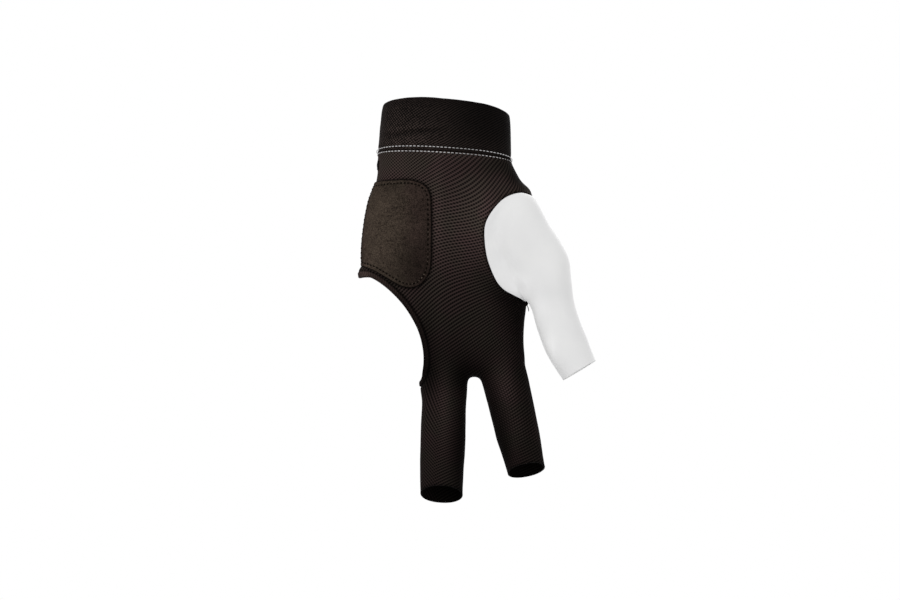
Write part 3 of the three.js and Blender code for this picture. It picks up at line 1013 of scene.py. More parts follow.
def cuff_stitches(sizes):
    """Two rows of pale stitches: one on the band and one on the mesh cloth under its seam."""
    stitch = Stitch(sizes.stitch_length / MM, sizes.stitch_width / MM, CUFF_STITCH_HEIGHT)
    seam, body = CUFF[-1], palm_rows()[0]
    above = seam._replace(z=seam.z + 0.65, pitch=8.6, lean=-3.6)
    rows = ((above, 0.3, 1), (body._replace(z=seam.z - 0.85), 0.12, 2))
    pitch = sizes.stitch_pitch / MM
    places, along, out = [], [], []
    for row, grow, seed in rows:
        line = spaced_loop(ring(row, grow, 400), pitch)
        line = np.roll(line, seed, axis=0)
        ahead = unit(np.roll(line, -1, axis=0) - np.roll(line, 1, axis=0))
        axis = np.array(section_axes(row)[2])
        away = unit(np.cross(ahead, axis))
        away *= np.sign((away * (line - np.array(row[:3]))).sum(axis=1, keepdims=True))
        jitter = wavy(line, 1.3, 7 + seed)[:, None]
        places.append(line + ahead * jitter * 0.18)
        along.append(ahead + axis * jitter * 0.08)
        out.append(away)
    places, along, out = (np.concatenate(v) for v in (places, along, out))
    shade = 0.35 * wavy(places, 3, 9) + 0.8 * bell(places[:, 0] - 11, 9)
    return sewn("cuff_stitches", stitch, places, along, out, shade)


# The patch

PATCH_LIFT = 0.3
PATCH_CORNERS = ((-43, 0, -76), (-36.5, 0, -35.5))
PATCH_STITCH = Stitch(1.5, 0.9, 0.45)
THREAD_END = Stitch(0.75, 0.42, 0.3)
PATCH_STITCH_INSET = 1.85
PATCH_STITCH_PITCH = 2.45
# The depth of the patch's seam where it runs down the glove's side
PATCH_SIDE_SEAM_Y = -4.2
SEAM_STEP = 0.4
# How much closer the stitches lie where the seam runs level
LEVEL_CLOSER = 0.35
# Spots of painted light and shade on the suede
PATCH_LIGHT_AND_SHADE_SPOTS = table_of(
    Spot,
    (-15, -74, 8, 11, 0.7), (-22, -56, 6, 8, 0.0), (-25, -35, 16, 3.5, 0.35),
    (-36, -40, 5, 7, 0.2), (-10, -55, 4, 12, 0.15), (-27, -39, 12, 4, 0.25),
    (-28, -68, 7, 5, -0.25), (-38, -76, 7, 4, -0.3),
)
THREAD_SPOTS = table_of(Spot, (-11.5, -82, 3, 3, -1.7), (-14.5, -84.5, 2, 2, -0.6), (-25, -81.5, 3, 2, -1.0))


def patch_piece(form, sizes):
    """The suede patch, its edge pressed down and a groove where it is sewn."""
    sheet = patch_sheet(form)
    points, normals = points_of(sheet), normals_of(sheet)
    far = distance_to(points, np.concatenate(edge_lines(sheet)))
    wall = sizes.patch_wall / MM
    edge = 0.45 * np.exp(-far / 0.35)
    groove = 0.26 * bell(far - PATCH_STITCH_INSET, 0.45)
    nap = 0.06 * wavy(points, 1.6, 5) + 0.08 * wavy(points, 7, 6)
    for corner in PATCH_CORNERS:
        edge += 0.9 * bell(far_from(points, corner), 4.5)
    set_points(sheet, points + normals * (PATCH_LIFT + wall - edge - groove + nap)[:, None])
    write_weave(sheet, points[:, 0], points[:, 2], far)
    x, y, z = points.T
    # Painted light and shade: darker towards the thumb side and the bottom, and in soft spots
    depth = 0.3 + 0.8 * eased(-32, -8, x) + 0.55 * eased(-62, -86, z) + spotted(points, PATCH_LIGHT_AND_SHADE_SPOTS)
    # Darker where it turns round the side, and a painted highlight on the ridge just inside the stitches
    depth += 1.2 * eased(-8, -3, y) * (x < -20) - 0.2 * bell(far - 1.2, 0.5)
    write_tone(sheet, depth)
    walled(sheet, wall)
    smooth_shaded(sheet)
    return sheet


def inset_line(outline, inset, pitch):
    """Points at an even pitch on an outline moved inwards, in x and z."""
    line = offset(smooth_curve(outline, 8), -inset)
    run = run_along(line)
    return at_runs(np.arange(0, run[-1], pitch), run, line)


def patch_seam(patch, pitch):
    """Places round the patch where it is sewn, with the directions along the seam and out of it."""
    tree = surface_tree(patch)
    front = [p for p in inset_line(PATCH, PATCH_STITCH_INSET, SEAM_STEP) if p[0] > -50]
    hits = [struck(tree, (x, 0, z), TO_BACK)[0] for x, z in front]
    places = [np.array(hit) for hit in hits if hit is not None and hit.y < -4.5]
    low, high = places[-1], places[0]
    steps = int(abs(high[2] - low[2]) / SEAM_STEP)
    heights = [low[2] + (high[2] - low[2]) * i / steps for i in range(1, steps)]
    hits = [struck(tree, (0, PATCH_SIDE_SEAM_Y, z), TO_THUMB)[0] for z in heights]
    places += [np.array(hit) for hit in hits if hit is not None]
    line = spaced_loop(smoothed_loop(np.array(places), 2), SEAM_STEP)
    step = np.diff(line, axis=0, append=line[:1])
    count = np.cumsum((np.linalg.norm(step, axis=1) + LEVEL_CLOSER * np.abs(step[:, 0])) / pitch)
    at = np.linspace(0, count[-1], round(count[-1]), endpoint=False)
    places = np.array([tree.find_nearest(Vector(p))[0] for p in at_runs(at, count, line)])
    ahead = unit(np.roll(places, -1, axis=0) - np.roll(places, 1, axis=0))
    return places, ahead, surface_normals(tree, places)


def patch_stitches(patch):
    """The dark stitches, and the bits of pale thread between them, brightest at the lower corner."""
    places, ahead, out = patch_seam(patch, PATCH_STITCH_PITCH)
    faint = -0.9 + 1.2 * wavy(places, 1.7, 12)
    dark = sewn("patch_stitches", PATCH_STITCH, places + out * 0.07, ahead, out, faint)
    between = (places + np.roll(places, -1, axis=0)) / 2
    shade = 3.1 + 1.8 * wavy(between, 1.1, 11) + spotted(between, THREAD_SPOTS)
    shade = np.maximum(shade, 0)
    return dark, sewn("patch_thread_ends", THREAD_END, between + out * 0.04, ahead, out, shade)


# The bound edge

TAPE_PROFILE = (
    (2.5, -0.3), (2.45, 0.0), (2.25, 0.16), (1.7, 0.24), (1.0, 0.26), (0.35, 0.24), (-0.05, 0.1),
    (-0.28, -0.25), (-0.28, -0.7), (-0.05, -1.05), (0.4, -1.22), (1.2, -1.26), (2.3, -1.22), (2.45, -1.1),
    (2.45, -0.97), (0.1, -0.97), (0.06, -0.5), (0.1, -0.04), (2.3, -0.06),
)
# The tape's length from one ring to the next, and its stitches' size, inset and pitch
TAPE_STEP = 0.8
TAPE_STITCH = Stitch(1.3, 0.3, 0.3)
TAPE_STITCH_INSET = 2.15
TAPE_STITCH_PITCH = 2.0
# Spots of painted light at the tape's upper end
TAPE_LIGHT_SPOTS = table_of(
    Spot,
    (-41, -81, 4, 5, -1.6), (-34, -83, 5, 5, -0.5), (-28, -88, 5, 5, -0.3),
)
TAPE_RIM_SPOTS = table_of(Spot, (-21, -96, 5, 8, 1.0), (-14, -108, 4, 8, 0.3))
OPENING_MIDDLE = (-26, 0, -105)
THUMB_SEAM_MIDDLE = (32, 0, -66)
TAPE_KNOT = (-12.6, 0, -133.5)


def opening_line(sheet, pitch):
    """The cut edge of the opening as an even line, with the directions out of and into the cloth."""
    line = line_near(edge_lines(sheet), OPENING_MIDDLE)
    line = smoothed_loop(spaced_loop(line, pitch), 6)
    tree = surface_tree(sheet)
    out = unit(smoothed_loop(surface_normals(tree, line), 6))
    ahead = unit(np.roll(line, -1, axis=0) - np.roll(line, 1, axis=0))
    into = unit(np.cross(out, ahead))
    probe = np.array([tree.find_nearest(Vector(p))[3] for p in line + into * 1.5])
    if probe.mean() > 0.75:
        into = -into
    return line, ahead, out, into


def opening_tape(sheet):
    """The folded tape: a profile swept round the cut edge, fuller where its ends are tacked."""
    line, _, out, into = opening_line(sheet, TAPE_STEP)
    profile = np.array(TAPE_PROFILE)
    knot = bell(far_from(line, TAPE_KNOT), 2.2)
    pull = 1 + 0.04 * wavy(line, 4, 8)
    rings = []
    for i in range(len(line)):
        full = 1 + 0.35 * knot[i]
        w = profile[:, 0] * pull[i]
        n = (profile[:, 1] + 0.6) * full - 0.6
        rings.append(line[i] + w[:, None] * into[i] + n[:, None] * out[i])
    rings = np.array(rings)
    count = len(profile)
    obj = new_object("edge_tape", rings.reshape(-1, 3), grid_faces(len(rings), count, closed=True))
    run = np.arange(len(line)) * TAPE_STEP
    write_weave(obj, np.repeat(run, count), np.tile(run_along(profile), len(line)))
    points = points_of(obj)
    # Painted light and shade: the mesh cloth's, a painted shadow with the dark line along the inner edge,  a
    # painted highlight on the crown, and a darker rim in places
    inner_line_and_shadow = eased(2.15, 2.4, profile[:, 0])
    crown_highlight = bell(profile[:, 0] - 1.7, 0.6)
    rim = np.tile(bell(profile[:, 0], 0.9), len(line))
    depth = painted_cloth_shading(points) * 0.8 + 0.45 + np.tile(2.0 * inner_line_and_shadow - 0.4 * crown_highlight, len(line))
    write_tone(obj, depth + spotted(points, TAPE_LIGHT_SPOTS) + rim * spotted(points, TAPE_RIM_SPOTS))
    smooth_shaded(obj)
    return obj


def tape_stitches(sheet):
    line, ahead, out, into = opening_line(sheet, TAPE_STITCH_PITCH)
    places = line + into * TAPE_STITCH_INSET + out * 0.2
    return sewn("tape_stitches", TAPE_STITCH, places, ahead, out)


# The tack where the thumb panel's seam ends at the side, with a loose end of thread

TACK_Z = -95.2
TACK_DEPTHS = (-3.6, -2.4, -1.2, 0, 1.2, 2.4)
TACK_STITCH = Stitch(3.0, 1.2, 1.3)
LOOSE_THREAD = Stitch(3.6, 0.42, 0.42)
# The bar tack across the end of the side seam, under the cuff: its depth, its rows and its stitch
SIDE_TACK_Y = -3.7
SIDE_TACK_HEIGHTS = (-24.3, -25.4, -26.5, -27.6)
SIDE_TACK_STITCH = Stitch(5.6, 1.25, 1.1)


def seam_tack(sheet):
    tree = surface_tree(sheet)
    hits = [struck(tree, (0, y, TACK_Z), FROM_THUMB)[0] for y in TACK_DEPTHS]
    places = np.array([hit for hit in hits if hit is not None])
    along = np.tile((0.15, 0.0, -1.0), (len(places), 1))
    out = np.tile((1.0, 0.0, 0.1), (len(places), 1))
    tack = sewn("seam_tack", TACK_STITCH, places + (0.25, 0, 0.6), along, out)
    start, along = places[1:2] + (0.95, 0, -1.9), np.array([(0.28, -0.05, -1.0)])
    return tack, sewn("loose_thread", LOOSE_THREAD, start, along, np.array([(1.0, 0.0, 0.0)]))


def side_tack(sheet):
    tree = surface_tree(sheet)
    hits = [struck(tree, (0, SIDE_TACK_Y, z), TO_THUMB) for z in SIDE_TACK_HEIGHTS]
    places, out = (np.array(part) for part in zip(*hits))
    along = np.tile((0.0, -1.0, 0.1), (len(places), 1))
    along -= out * (along * out).sum(axis=1, keepdims=True)
    return sewn("side_tack", SIDE_TACK_STITCH, places, along, out)


# Materials

class Value:
    """A socket in a material, with arithmetic that adds Math nodes."""

    def __init__(self, finish, socket):
        self.finish = finish
        self.socket = socket

    def math(self, operation, *others):
        return self.finish.put("ShaderNodeMath", {"operation": operation}, (self, *others))

    def __add__(self, other):
        return self.math("ADD", other)

    __radd__ = __add__

    def __sub__(self, other):
        return self.math("SUBTRACT", other)

    def __rsub__(self, other):
        return self.finish.put("ShaderNodeMath", {"operation": "SUBTRACT"}, (other, self))

    def __mul__(self, other):
        return self.math("MULTIPLY", other)

    def __truediv__(self, other):
        return self.math("DIVIDE", other)

    def wave(self, operation="SINE"):
        """A wave between 0 and 1 that comes back each time the value grows by 1."""
        return (self * math.tau).math(operation) * 0.5 + 0.5


class Finish:
    """A material and its nodes, named for the finish that they make."""

    def __init__(self, name):
        self.material = bpy.data.materials.new(name)
        self.material.use_nodes = True
        self.tree = self.material.node_tree
        self.tree.nodes.clear()

    def put(self, kind, settings=None, values=None, out=0):
        """Adds a node: its settings first, then its sockets by number or name, from values or links."""
        node = self.tree.nodes.new(kind)
        for key, value in (settings or {}).items():
            setattr(node, key, value)
        if not isinstance(values, dict):
            values = dict(enumerate(values or ()))
        for key, value in values.items():
            if isinstance(value, Value):
                self.tree.links.new(value.socket, node.inputs[key])
            else:
                node.inputs[key].default_value = value
        return Value(self, node.outputs[out]) if node.outputs else None

    def parts(self, name):
        """The three numbers of an attribute on the piece."""
        vector = self.put("ShaderNodeAttribute", {"attribute_name": name}, out="Vector")
        node = self.tree.nodes.new("ShaderNodeSeparateXYZ")
        self.tree.links.new(vector.socket, node.inputs[0])
        return [Value(self, socket) for socket in node.outputs]

    def own(self, name):
        """A number that the piece keeps on its points."""
        return self.put("ShaderNodeAttribute", {"attribute_name": name}, out="Fac")

    def toned(self, colour):
        """A colour times the piece's own tone, which on the cloths carries painted light and shade."""
        return self.put("ShaderNodeVectorMath", {"operation": "SCALE"}, {
            0: colour, "Scale": self.own("tone")})

    def place(self):
        return self.put("ShaderNodeTexCoord", out="Object")

    def noise(self, where, size_mm, detail=2.0, rough=0.5):
        """Noise with features of about that size, in millimetres, on object coordinates in metres."""
        return self.put("ShaderNodeTexNoise", {"noise_dimensions": "3D"}, {
            "Vector": where, "Scale": 1 / (size_mm * MM), "Detail": detail, "Roughness": rough})

    def ease(self, value, low, high):
        """0 below low and 1 above high, smooth between."""
        return self.put("ShaderNodeMapRange", {"interpolation_type": "SMOOTHSTEP"}, {
            "Value": value, "From Min": low, "From Max": high, "To Min": 0.0, "To Max": 1.0})

    def blend(self, share, a, b):
        """Colour a where share is 0 and b where it is 1."""
        return self.put("ShaderNodeMix", {"data_type": "RGBA", "blend_type": "MIX"}, {
            "Factor": share, 6: a, 7: b}, out=2)

    def bump(self, height, strength, distance_mm, under=None):
        values = {"Height": height, "Strength": strength, "Distance": distance_mm * MM}
        if under is not None:
            values["Normal"] = under
        return self.put("ShaderNodeBump", None, values, out="Normal")

    def surface(self, **sockets):
        """The shader at the end, its sockets named with underscores for spaces."""
        values = {key.replace("_", " "): value for key, value in sockets.items()}
        shader = self.put("ShaderNodeBsdfPrincipled", None, values)
        self.put("ShaderNodeOutputMaterial", None, {"Surface": shader})
        return self.material


def rgba(colour):
    return (*colour, 1.0)


def mesh_finish(sizes, colours):
    """A stretch mesh: ribs with staggered small holes between them."""
    f = Finish("mesh_knit")
    rising, falling, lead = f.parts("weave")
    where = f.place()
    over = rising.math("FRACT") - 0.5
    beside = falling.math("FRACT") - 0.5
    far = (over * over + beside * beside - over * beside).math("SQRT") * KNIT_PITCH
    hole = sizes.hole_size / MM
    strength = 1 - f.ease(lead, 0.95, 1.3) * 0.8 - f.ease(lead, 0.7, 0.2) * 0.3
    opening = (1 - f.ease(far, hole * 0.28, hole * 0.75)) * strength
    crest, cross, between = (ribs.wave("COSINE") for ribs in (rising, falling, rising + falling))
    cross = cross + (between - cross) * f.own("sleeve")
    main = lead.math("MINIMUM", 1.0)
    ridge = crest * main + cross * (1 - main)
    knot = crest * cross
    blotch = f.ease(f.noise(where, 12, 2), 0.3, 0.7)
    grain = f.noise(where, 0.5, 2)
    lit = f.blend(blotch, rgba(colours.mesh_rib), rgba(colours.mesh_rib_cool))
    share = f.ease((ridge * 0.7 + knot * 0.2 + grain * 0.2 - 0.5) * f.own("relief"), -0.4, 0.45)
    body = f.blend(share, rgba(colours.mesh_ground), lit)
    colour = f.toned(f.blend(opening, body, rgba(colours.mesh_hole)))
    height = ridge * 0.55 + knot * 0.25 - opening * 0.9
    normal = f.bump(height, 0.9, 0.22)
    return f.surface(Base_Color=colour, Roughness=0.7, Normal=normal, Specular_IOR_Level=0.02)


def cuff_finish(sizes, colours):
    """A fine elastic twill, its diagonals rising towards the thumb side."""
    f = Finish("cuff_twill")
    around, down, left = f.parts("weave")
    where = f.place()
    rise, fall = math.radians(29.5), math.radians(-44)
    pitch = sizes.twill_pitch / MM
    diagonal = (down * math.cos(rise) - around * math.sin(rise)) / pitch
    wale = diagonal.wave()
    thread = ((down * math.cos(fall) - around * math.sin(fall)) / pitch * math.tau).math("SINE")
    grain = f.ease(f.noise(where, 0.7, 2), 0.25, 0.75)
    share = wale * (1.2 - left * 0.6) + thread * (0.1 + left * 0.24) + grain * 0.7 - 0.42
    colour = f.toned(f.blend(f.ease(share, 0.05, 0.95), rgba(colours.cuff_dark), rgba(colours.cuff_light)))
    normal = f.bump(wale + thread * 0.2, 0.9, 0.18)
    return f.surface(Base_Color=colour, Roughness=0.6, Normal=normal, Specular_IOR_Level=0.03)


def suede_finish(colours):
    """Dark suede: mottled, with a short nap brushed in patches, cooler towards the palm."""
    f = Finish("heel_suede")
    across, _, edge = f.parts("weave")
    where = f.place()
    cloud = f.noise(where, 6, 2, 0.5)
    cool = f.ease(cloud * 16 + across, -17, -3) + 1 - f.ease(cloud * 10 + across, -38, -30)
    fine = f.noise(where, 0.38, 2, 0.6)
    nap = f.noise(where, 1.5, 3, 0.6)
    patchy = f.ease(f.noise(where, 9, 2, 0.5), 0.25, 0.75)
    share = f.ease(fine * 0.76 + nap * 0.24, 0.36, 0.64) * 0.84 + patchy * 0.16
    lit = f.blend(cool, rgba(colours.suede_light), rgba(colours.suede_cool))
    face = f.blend(share, rgba(colours.suede_dark), lit)
    # The cut edge: darker, partly its own colour and partly painted shade along the edge
    outline = 1 - f.ease(edge, 0.3, 0.65)
    colour = f.toned(f.blend(outline * 0.9, face, rgba(colours.suede_edge_and_shade)))
    normal = f.bump(nap * 0.7 + fine * 0.5, 0.75, 0.3)
    return f.surface(Base_Color=colour, Roughness=0.95, Normal=normal, Specular_IOR_Level=0.03)


def thumb_finish(colours):
    """Smooth pale stretch cloth with a hardly visible knit."""
    f = Finish("thumb_stretch")
    along, across, _ = f.parts("weave")
    where = f.place()
    rib, loop = (along / 0.55).wave(), (across / 0.6).wave()
    soft = f.noise(where, 14, 2)
    tone = f.ease(soft, 0.25, 0.75) * 0.6 + rib * loop * 0.25 + f.noise(where, 0.4, 2) * 0.15
    colour = f.toned(f.blend(tone, rgba(colours.thumb_shade), rgba(colours.thumb_light)))
    normal = f.bump(rib * loop, 0.25, 0.06)
    return f.surface(Base_Color=colour, Roughness=0.7, Normal=normal, Specular_IOR_Level=0.1,
                     Sheen_Weight=1.0, Sheen_Roughness=0.4)


def tape_finish(colours):
    f = Finish("edge_tape_weave")
    along, across, _ = f.parts("weave")
    rib = (along / 1.3 + across / 2.4).wave()
    grain = f.ease(f.noise(f.place(), 0.5, 2), 0.25, 0.75)
    colour = f.toned(f.blend(rib * 0.45 + grain * 0.5, rgba(colours.tape_dark), rgba(colours.tape_light)))
    normal = f.bump(rib + grain * 0.5, 0.6, 0.1)
    return f.surface(Base_Color=colour, Roughness=0.75, Normal=normal, Specular_IOR_Level=0.03)


def thread_finish(name, colour, low):
    """Twisted thread; low is its low parts' colour as a share of the colour."""
    f = Finish(name)
    shade = [c * low for c in colour]
    twist = f.noise(f.place(), 0.22, 1)
    tone = f.toned(f.blend(f.ease(twist, 0.35, 0.65), rgba(shade), rgba(colour)))
    normal = f.bump(twist, 0.5, 0.08)
    return f.surface(Base_Color=tone, Roughness=0.6, Normal=normal, Specular_IOR_Level=0.02)


def stage_finish(name, colour):
    f = Finish(name)
    speck = f.noise(f.place(), 60, 2)
    pale = f.blend(speck * 0.1, rgba(colour), rgba([c * 0.96 for c in colour]))
    return f.surface(Base_Color=pale, Roughness=0.9, Specular_IOR_Level=0.1)


# The user's sizes and colours

def length(name, text, default_mm):
    return FloatProperty(name=name, description=text, default=default_mm * MM, min=0.00001, unit="LENGTH",
                         precision=5)


def linear(level):
    """Linear light from an 8-bit sRGB level."""
    c = level / 255
    return c / 12.92 if c <= 0.04045 else ((c + 0.055) / 1.055) ** 2.4


def tint(name, text, *levels):
    return FloatVectorProperty(name=name, description=text, subtype="COLOR", size=3, min=0, max=1,
                               default=[linear(v) for v in levels])


class GLOVE_PG_sizes(bpy.types.PropertyGroup):
    mesh_wall: length("Mesh wall", "Thickness of the mesh cloth", 0.95)
    thumb_wall: length("Thumb wall", "Thickness of the thumb's cloth", 0.95)
    cuff_wall: length("Cuff wall", "Thickness of the doubled band", 2.2)
    patch_wall: length("Patch wall", "Thickness of the suede", 1.1)
    hole_size: length("Hole size", "Width of one hole", 0.85)
    twill_pitch: length("Twill pitch", "From one diagonal of the cuff to the next", 0.985)
    stitch_length: length("Stitch length", "Length of one pale stitch", 1.4)
    stitch_width: length("Stitch width", "Thickness of the pale thread", 0.42)
    stitch_pitch: length("Stitch pitch", "From one pale stitch to the next", 1.92)


class GLOVE_PG_colours(bpy.types.PropertyGroup):
    mesh_rib: tint("Rib", "Warm tone of the ribs", 79, 63, 61)
    mesh_rib_cool: tint("Rib, cool", "Cool tone of the ribs", 72, 65, 58)
    mesh_ground: tint("Ground", "Cloth between the ribs", 33, 26, 25)
    mesh_hole: tint("Hole", "Inside of a hole", 14, 10, 10)
    cuff_light: tint("Cuff, light", "Raised thread of the twill", 77, 65, 61)
    cuff_dark: tint("Cuff, dark", "Low thread of the twill", 12, 9, 8)
    suede_light: tint("Suede, light", "Brushed nap", 93, 81, 70)
    suede_cool: tint("Suede, cool", "Brushed nap at both sides", 95, 78, 71)
    suede_dark: tint("Suede, dark", "Pressed nap", 28, 22, 19)
    # The cut edge's own darker colour, which also carries painted shade along the edge
    suede_edge_and_shade: tint("Suede, edge", "Cut edge of the suede", 11, 8, 8)
    thumb_light: tint("Thumb, light", "Thumb cloth", 253, 253, 252)
    thumb_shade: tint("Thumb, shade", "Thumb cloth between the loops", 247, 247, 247)
    tape_light: tint("Tape, light", "Raised thread of the edge tape", 67, 54, 50)
    tape_dark: tint("Tape, dark", "Low thread of the edge tape", 16, 12, 12)
    white_thread: tint("Pale thread", "Stitches of the cuff", 222, 221, 221)
    dark_thread: tint("Dark thread", "Stitches of the patch and the tape", 11, 7, 5)
    beige_thread: tint("Beige thread", "Bits of thread between the patch's stitches", 176, 160, 142)
    stage_pale: tint("Stage", "Floor", 235, 235, 236)


# The pieces, as operators

def shared_form():
    """The full form, made by the first operator that needs it."""
    form = bpy.data.objects.get("worn_form")
    return form or worn_form()


# Each cloth as it was cut, before it was stretched in wear: width, length and area, in millimetres
Cut = namedtuple("Cut", "width length area")
PALM_CUT = Cut(94, 166, 10500)
BACK_CUT = Cut(94, 166, 11200)
THUMB_CUT = Cut(84, 98, 6100)
CUFF_CUT = Cut(176, 22, 3870)
HEEL_PATCH_CUT = Cut(41, 53, 2060)


def cut_flat(obj, size, held, rests_on, *with_pieces):
    """Reads the size that a piece was cut to, and does nothing more with it."""
    size.width * MM
    size.area * MM * MM


def finished(obj, material, slot, *nodes):
    """Gives a finished piece its material and its body, and hides the solids that it stands for."""
    obj.data.materials.clear()
    obj.data.materials.append(material)
    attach(obj, "root")
    if nodes:
        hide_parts(*nodes)
    return obj


class GLOVE_OT_mesh_cloth(bpy.types.Operator):
    """Cuts the mesh cloth of the palm, the back and the two sleeves, and binds its open side"""

    bl_idname = "glove.mesh_cloth"
    bl_label = "Mesh cloth and bound edge"

    def execute(self, context):
        sizes, colours = context.scene.glove_sizes, context.scene.glove_colours
        whole, palm, back = mesh_cloth_sheets(shared_form())
        lines = edge_lines(whole)
        middles = (OPENING_MIDDLE, THUMB_SEAM_MIDDLE, palm_rows()[0][:3], MIDDLE[-1][:3], INDEX[-1][:3])
        opening, thumb, top_edge, *tips = (line_near(lines, place) for place in middles)
        tape, stitches = opening_tape(whole), tape_stitches(whole)
        tack, tail = seam_tack(whole)
        side = side_tack(whole)
        remove(whole)
        knit = mesh_finish(sizes, colours)
        patch_edge = drawn_on(palm, smooth_curve(PATCH, 5))
        for sheet, node in ((palm, "palm_panel"), (back, "back_panel")):
            rim = rim_points(sheet)
            sides = away_from(rim, [opening, thumb, top_edge, *tips], CLEAR_OF_LINES)
            for line, band in ((sides, SIDE_DIP), (thumb, THUMB_DIP), (opening, TAPE_DIP)):
                dipped(sheet, line, band)
            points = points_of(sheet)
            write_weave(sheet, *knit_run(points))
            keep(sheet, "sleeve", on_index_sleeve(points))
            keep(sheet, "relief", rib_relief(points))
            # Painted light and shade on the cloth, with painted shade beside the thumb seam, the side seams
            # and the tips
            shades = [(thumb, THUMB_SHADE), (sides, SIDE_SHADE), *((tip, TIP_SHADE) for tip in tips)]
            depth = painted_cloth_shading(points) + sum(line_depth(points, line, band) for line, band in shades)
            # Painted shade on the cloth beside the tape, and on the palm side beside the patch; less at the
            # lower left
            edge_shade = line_depth(points, opening, TAPE_SHADE)
            if sheet is palm:
                edge_shade = np.maximum(edge_shade, line_depth(points, patch_edge, PATCH_SHADE))
            edge_shade *= 1 - 0.7 * eased(-24, -36, points[:, 0]) * eased(-72, -76, points[:, 2])
            write_tone(sheet, depth + edge_shade)
            walled(sheet, sizes.mesh_wall / MM)
            smooth_shaded(sheet)
            finished(sheet, knit, "mesh_cloth", node)
        finished(tape, tape_finish(colours), "binding_cloth", "opening_binding")
        dark = thread_finish("dark_thread", colours.dark_thread, 0.5)
        for piece in (stitches, tack, tail, side):
            finished(piece, dark, "binding_cloth")
        cut_flat(palm, PALM_CUT, "stretched", ["back_cloth", "wrist_band"], tape, stitches, tack, tail, side)
        cut_flat(back, BACK_CUT, "stretched", ["palm_cloth", "wrist_band"])
        return {"FINISHED"}


class GLOVE_OT_thumb_sleeve(bpy.types.Operator):
    """Cuts the smooth pale panel over the ball of the thumb, with the thumb's sleeve"""

    bl_idname = "glove.thumb_sleeve"
    bl_label = "Thumb sleeve"

    def execute(self, context):
        sizes, colours = context.scene.glove_sizes, context.scene.glove_colours
        sheet = thumb_sheet(shared_form())
        dipped(sheet, line_near(edge_lines(sheet), THUMB_SEAM_MIDDLE), PANEL_DIP)
        points = points_of(sheet)
        write_weave(sheet, points[:, 0] * 0.9 + points[:, 2] * 0.4, points[:, 2] * 0.9 - points[:, 0] * 0.4)
        write_tone(sheet, painted_thumb_light(points, normals_of(sheet)))
        walled(sheet, sizes.thumb_wall / MM, 1)
        smooth_shaded(sheet)
        finished(sheet, thumb_finish(colours), "thumb_cloth", "thumb_sleeve")
        cut_flat(sheet, THUMB_CUT, "stretched", ["palm_cloth", "back_cloth"])
        return {"FINISHED"}


class GLOVE_OT_wrist_cuff(bpy.types.Operator):
    """Models the doubled elastic band and its two rows of pale stitches"""

    bl_idname = "glove.wrist_cuff"
    bl_label = "Wrist cuff"

    def execute(self, context):
        sizes, colours = context.scene.glove_sizes, context.scene.glove_colours
        band = wrist_cuff(sizes)
        stitches = cuff_stitches(sizes)
        finished(band, cuff_finish(sizes, colours), "cuff_cloth", "wrist_cuff")
        pale = thread_finish("pale_thread", colours.white_thread, 0.6)
        finished(stitches, pale, "cuff_cloth")
        cut_flat(band, CUFF_CUT, "stretched", ["palm_cloth", "back_cloth"], stitches)
        return {"FINISHED"}


class GLOVE_OT_heel_patch(bpy.types.Operator):
    """Models the suede patch on the heel of the palm and its stitches"""

    bl_idname = "glove.heel_patch"
    bl_label = "Heel patch"

    def execute(self, context):
        sizes, colours = context.scene.glove_sizes, context.scene.glove_colours
        patch = patch_piece(shared_form(), sizes)
        stitches, ends = patch_stitches(patch)
        finished(patch, suede_finish(colours), "suede", "palm_patch")
        dark = thread_finish("patch_thread", colours.dark_thread, 0.5)
        finished(stitches, dark, "suede")
        beige = thread_finish("thread_ends", colours.beige_thread, 0.6)
        finished(ends, beige, "suede")
        cut_flat(patch, HEEL_PATCH_CUT, "laid", ["palm_cloth"], stitches, ends)
        return {"FINISHED"}


# The stage

FOCUS = (2, 0, -93)
CAMERA_DISTANCE = 1100
FRAME_WIDTH = 450
FLOOR_Z = -1000
FLOOR_RADIUS = 5000
# The surround's strength as the camera sees it, and as it lights the glove
WORLD_SEEN, WORLD_LIT = 1.0, 0.62
# Lights: place, power in watts and size
Lamp = namedtuple("Lamp", "name x y z watts size")
LAMPS = table_of(
    Lamp,
    ("key", -900, -700, 900, 9, 0.8),
    ("fill", 900, -900, -300, 3, 1.0),
    ("back", 100, 900, 700, 8, 1.0),
)


def add_lamp(lamp):
    light = bpy.data.lights.new(lamp.name, "AREA")
    light.energy = lamp.watts
    light.size = lamp.size
    obj = bpy.data.objects.new(lamp.name, light)
    obj.location = Vector(lamp[1:4]) * MM
    toward = Vector(FOCUS) * MM - obj.location
    obj.rotation_euler = toward.to_track_quat("-Z", "Y").to_euler()
    bpy.context.scene.collection.objects.link(obj)


def add_world():
    """A white surround to the camera, and a softer light on the glove."""
    world = bpy.data.worlds.new("studio")
    world.use_nodes = True
    nodes, links = world.node_tree.nodes, world.node_tree.links
    nodes.clear()
    seen, lit = (nodes.new("ShaderNodeBackground") for _ in range(2))
    for shade, strength in ((seen, WORLD_SEEN), (lit, WORLD_LIT)):
        shade.inputs["Strength"].default_value = strength
        shade.inputs["Color"].default_value = (1, 1, 1, 1)
    path, mix, out = (nodes.new(f"ShaderNode{kind}") for kind in ("LightPath", "MixShader", "OutputWorld"))
    links.new(path.outputs["Is Camera Ray"], mix.inputs[0])
    links.new(lit.outputs[0], mix.inputs[1])
    links.new(seen.outputs[0], mix.inputs[2])
    links.new(mix.outputs[0], out.inputs[0])
    bpy.context.scene.world = world


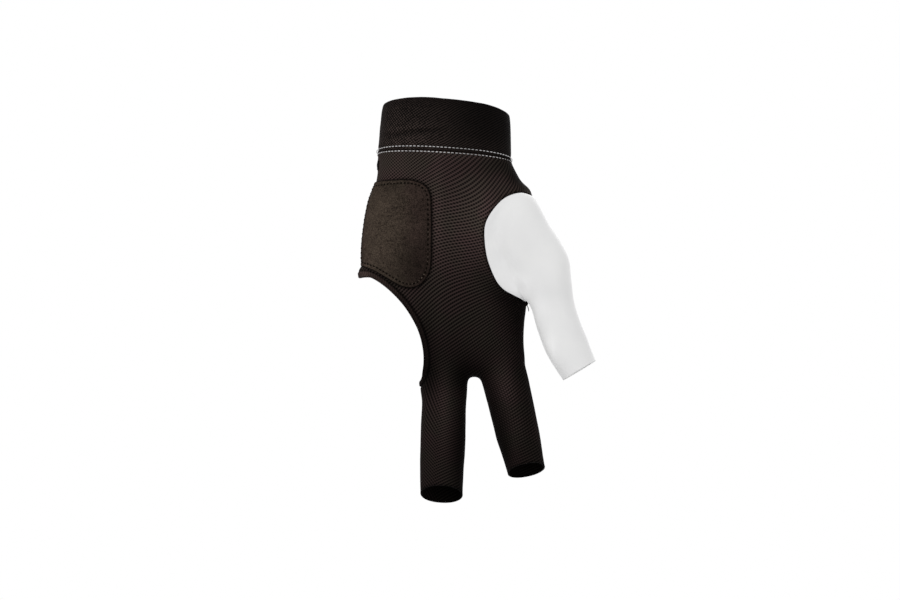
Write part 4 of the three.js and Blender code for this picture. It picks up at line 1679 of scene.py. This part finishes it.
class GLOVE_OT_stage(bpy.types.Operator):
    """Adds the pale floor, the soft lights and the camera at the photograph's angle"""

    bl_idname = "glove.stage"
    bl_label = "Stage, lights and camera"

    def execute(self, context):
        colours = context.scene.glove_colours
        bpy.ops.object.select_all(action="DESELECT")
        bpy.ops.mesh.primitive_circle_add(
            vertices=96, radius=FLOOR_RADIUS * MM, fill_type="NGON", location=(0, 0, FLOOR_Z * MM))
        floor = context.active_object
        floor.name = "floor"
        floor.data.materials.append(stage_finish("floor_pale", colours.stage_pale))
        for lamp in LAMPS:
            add_lamp(lamp)
        add_world()
        camera = bpy.data.cameras.new("camera")
        camera.lens = camera.sensor_width * CAMERA_DISTANCE / FRAME_WIDTH
        obj = bpy.data.objects.new("camera", camera)
        obj.location = (Vector(FOCUS) - Vector((0, CAMERA_DISTANCE, 0))) * MM
        obj.rotation_euler = (math.pi / 2, 0, 0)
        context.scene.collection.objects.link(obj)
        context.scene.camera = obj
        context.scene.view_settings.view_transform = "Standard"
        return {"FINISHED"}


class GLOVE_PT_panel(bpy.types.Panel):
    """The glove's pieces, sizes and colours, in the sidebar"""

    bl_idname = "GLOVE_PT_panel"
    bl_label = "Billiard glove"
    bl_space_type = "VIEW_3D"
    bl_region_type = "UI"
    bl_category = "Glove"

    def draw(self, context):
        for operator in OPERATORS:
            self.layout.operator(operator.bl_idname)
        for group in (context.scene.glove_sizes, context.scene.glove_colours):
            column = self.layout.column()
            for name in group.bl_rna.properties.keys():
                if name not in ("rna_type", "name"):
                    column.prop(group, name)


OPERATORS = (
    GLOVE_OT_mesh_cloth, GLOVE_OT_thumb_sleeve, GLOVE_OT_wrist_cuff, GLOVE_OT_heel_patch, GLOVE_OT_stage,
)
CLASSES = (GLOVE_PG_sizes, GLOVE_PG_colours, *OPERATORS, GLOVE_PT_panel)


def register():
    for cls in CLASSES:
        bpy.utils.register_class(cls)
    bpy.types.Scene.glove_sizes = PointerProperty(type=GLOVE_PG_sizes)
    bpy.types.Scene.glove_colours = PointerProperty(type=GLOVE_PG_colours)


def unregister():
    del bpy.types.Scene.glove_colours
    del bpy.types.Scene.glove_sizes
    for cls in reversed(CLASSES):
        bpy.utils.unregister_class(cls)


def main():
    register()
    bpy.ops.glove.mesh_cloth()
    bpy.ops.glove.thumb_sleeve()
    bpy.ops.glove.wrist_cuff()
    bpy.ops.glove.heel_patch()
    bpy.ops.glove.stage()
    remove(bpy.data.objects["worn_form"])
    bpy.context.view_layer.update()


if __name__ == "__main__":
    main()
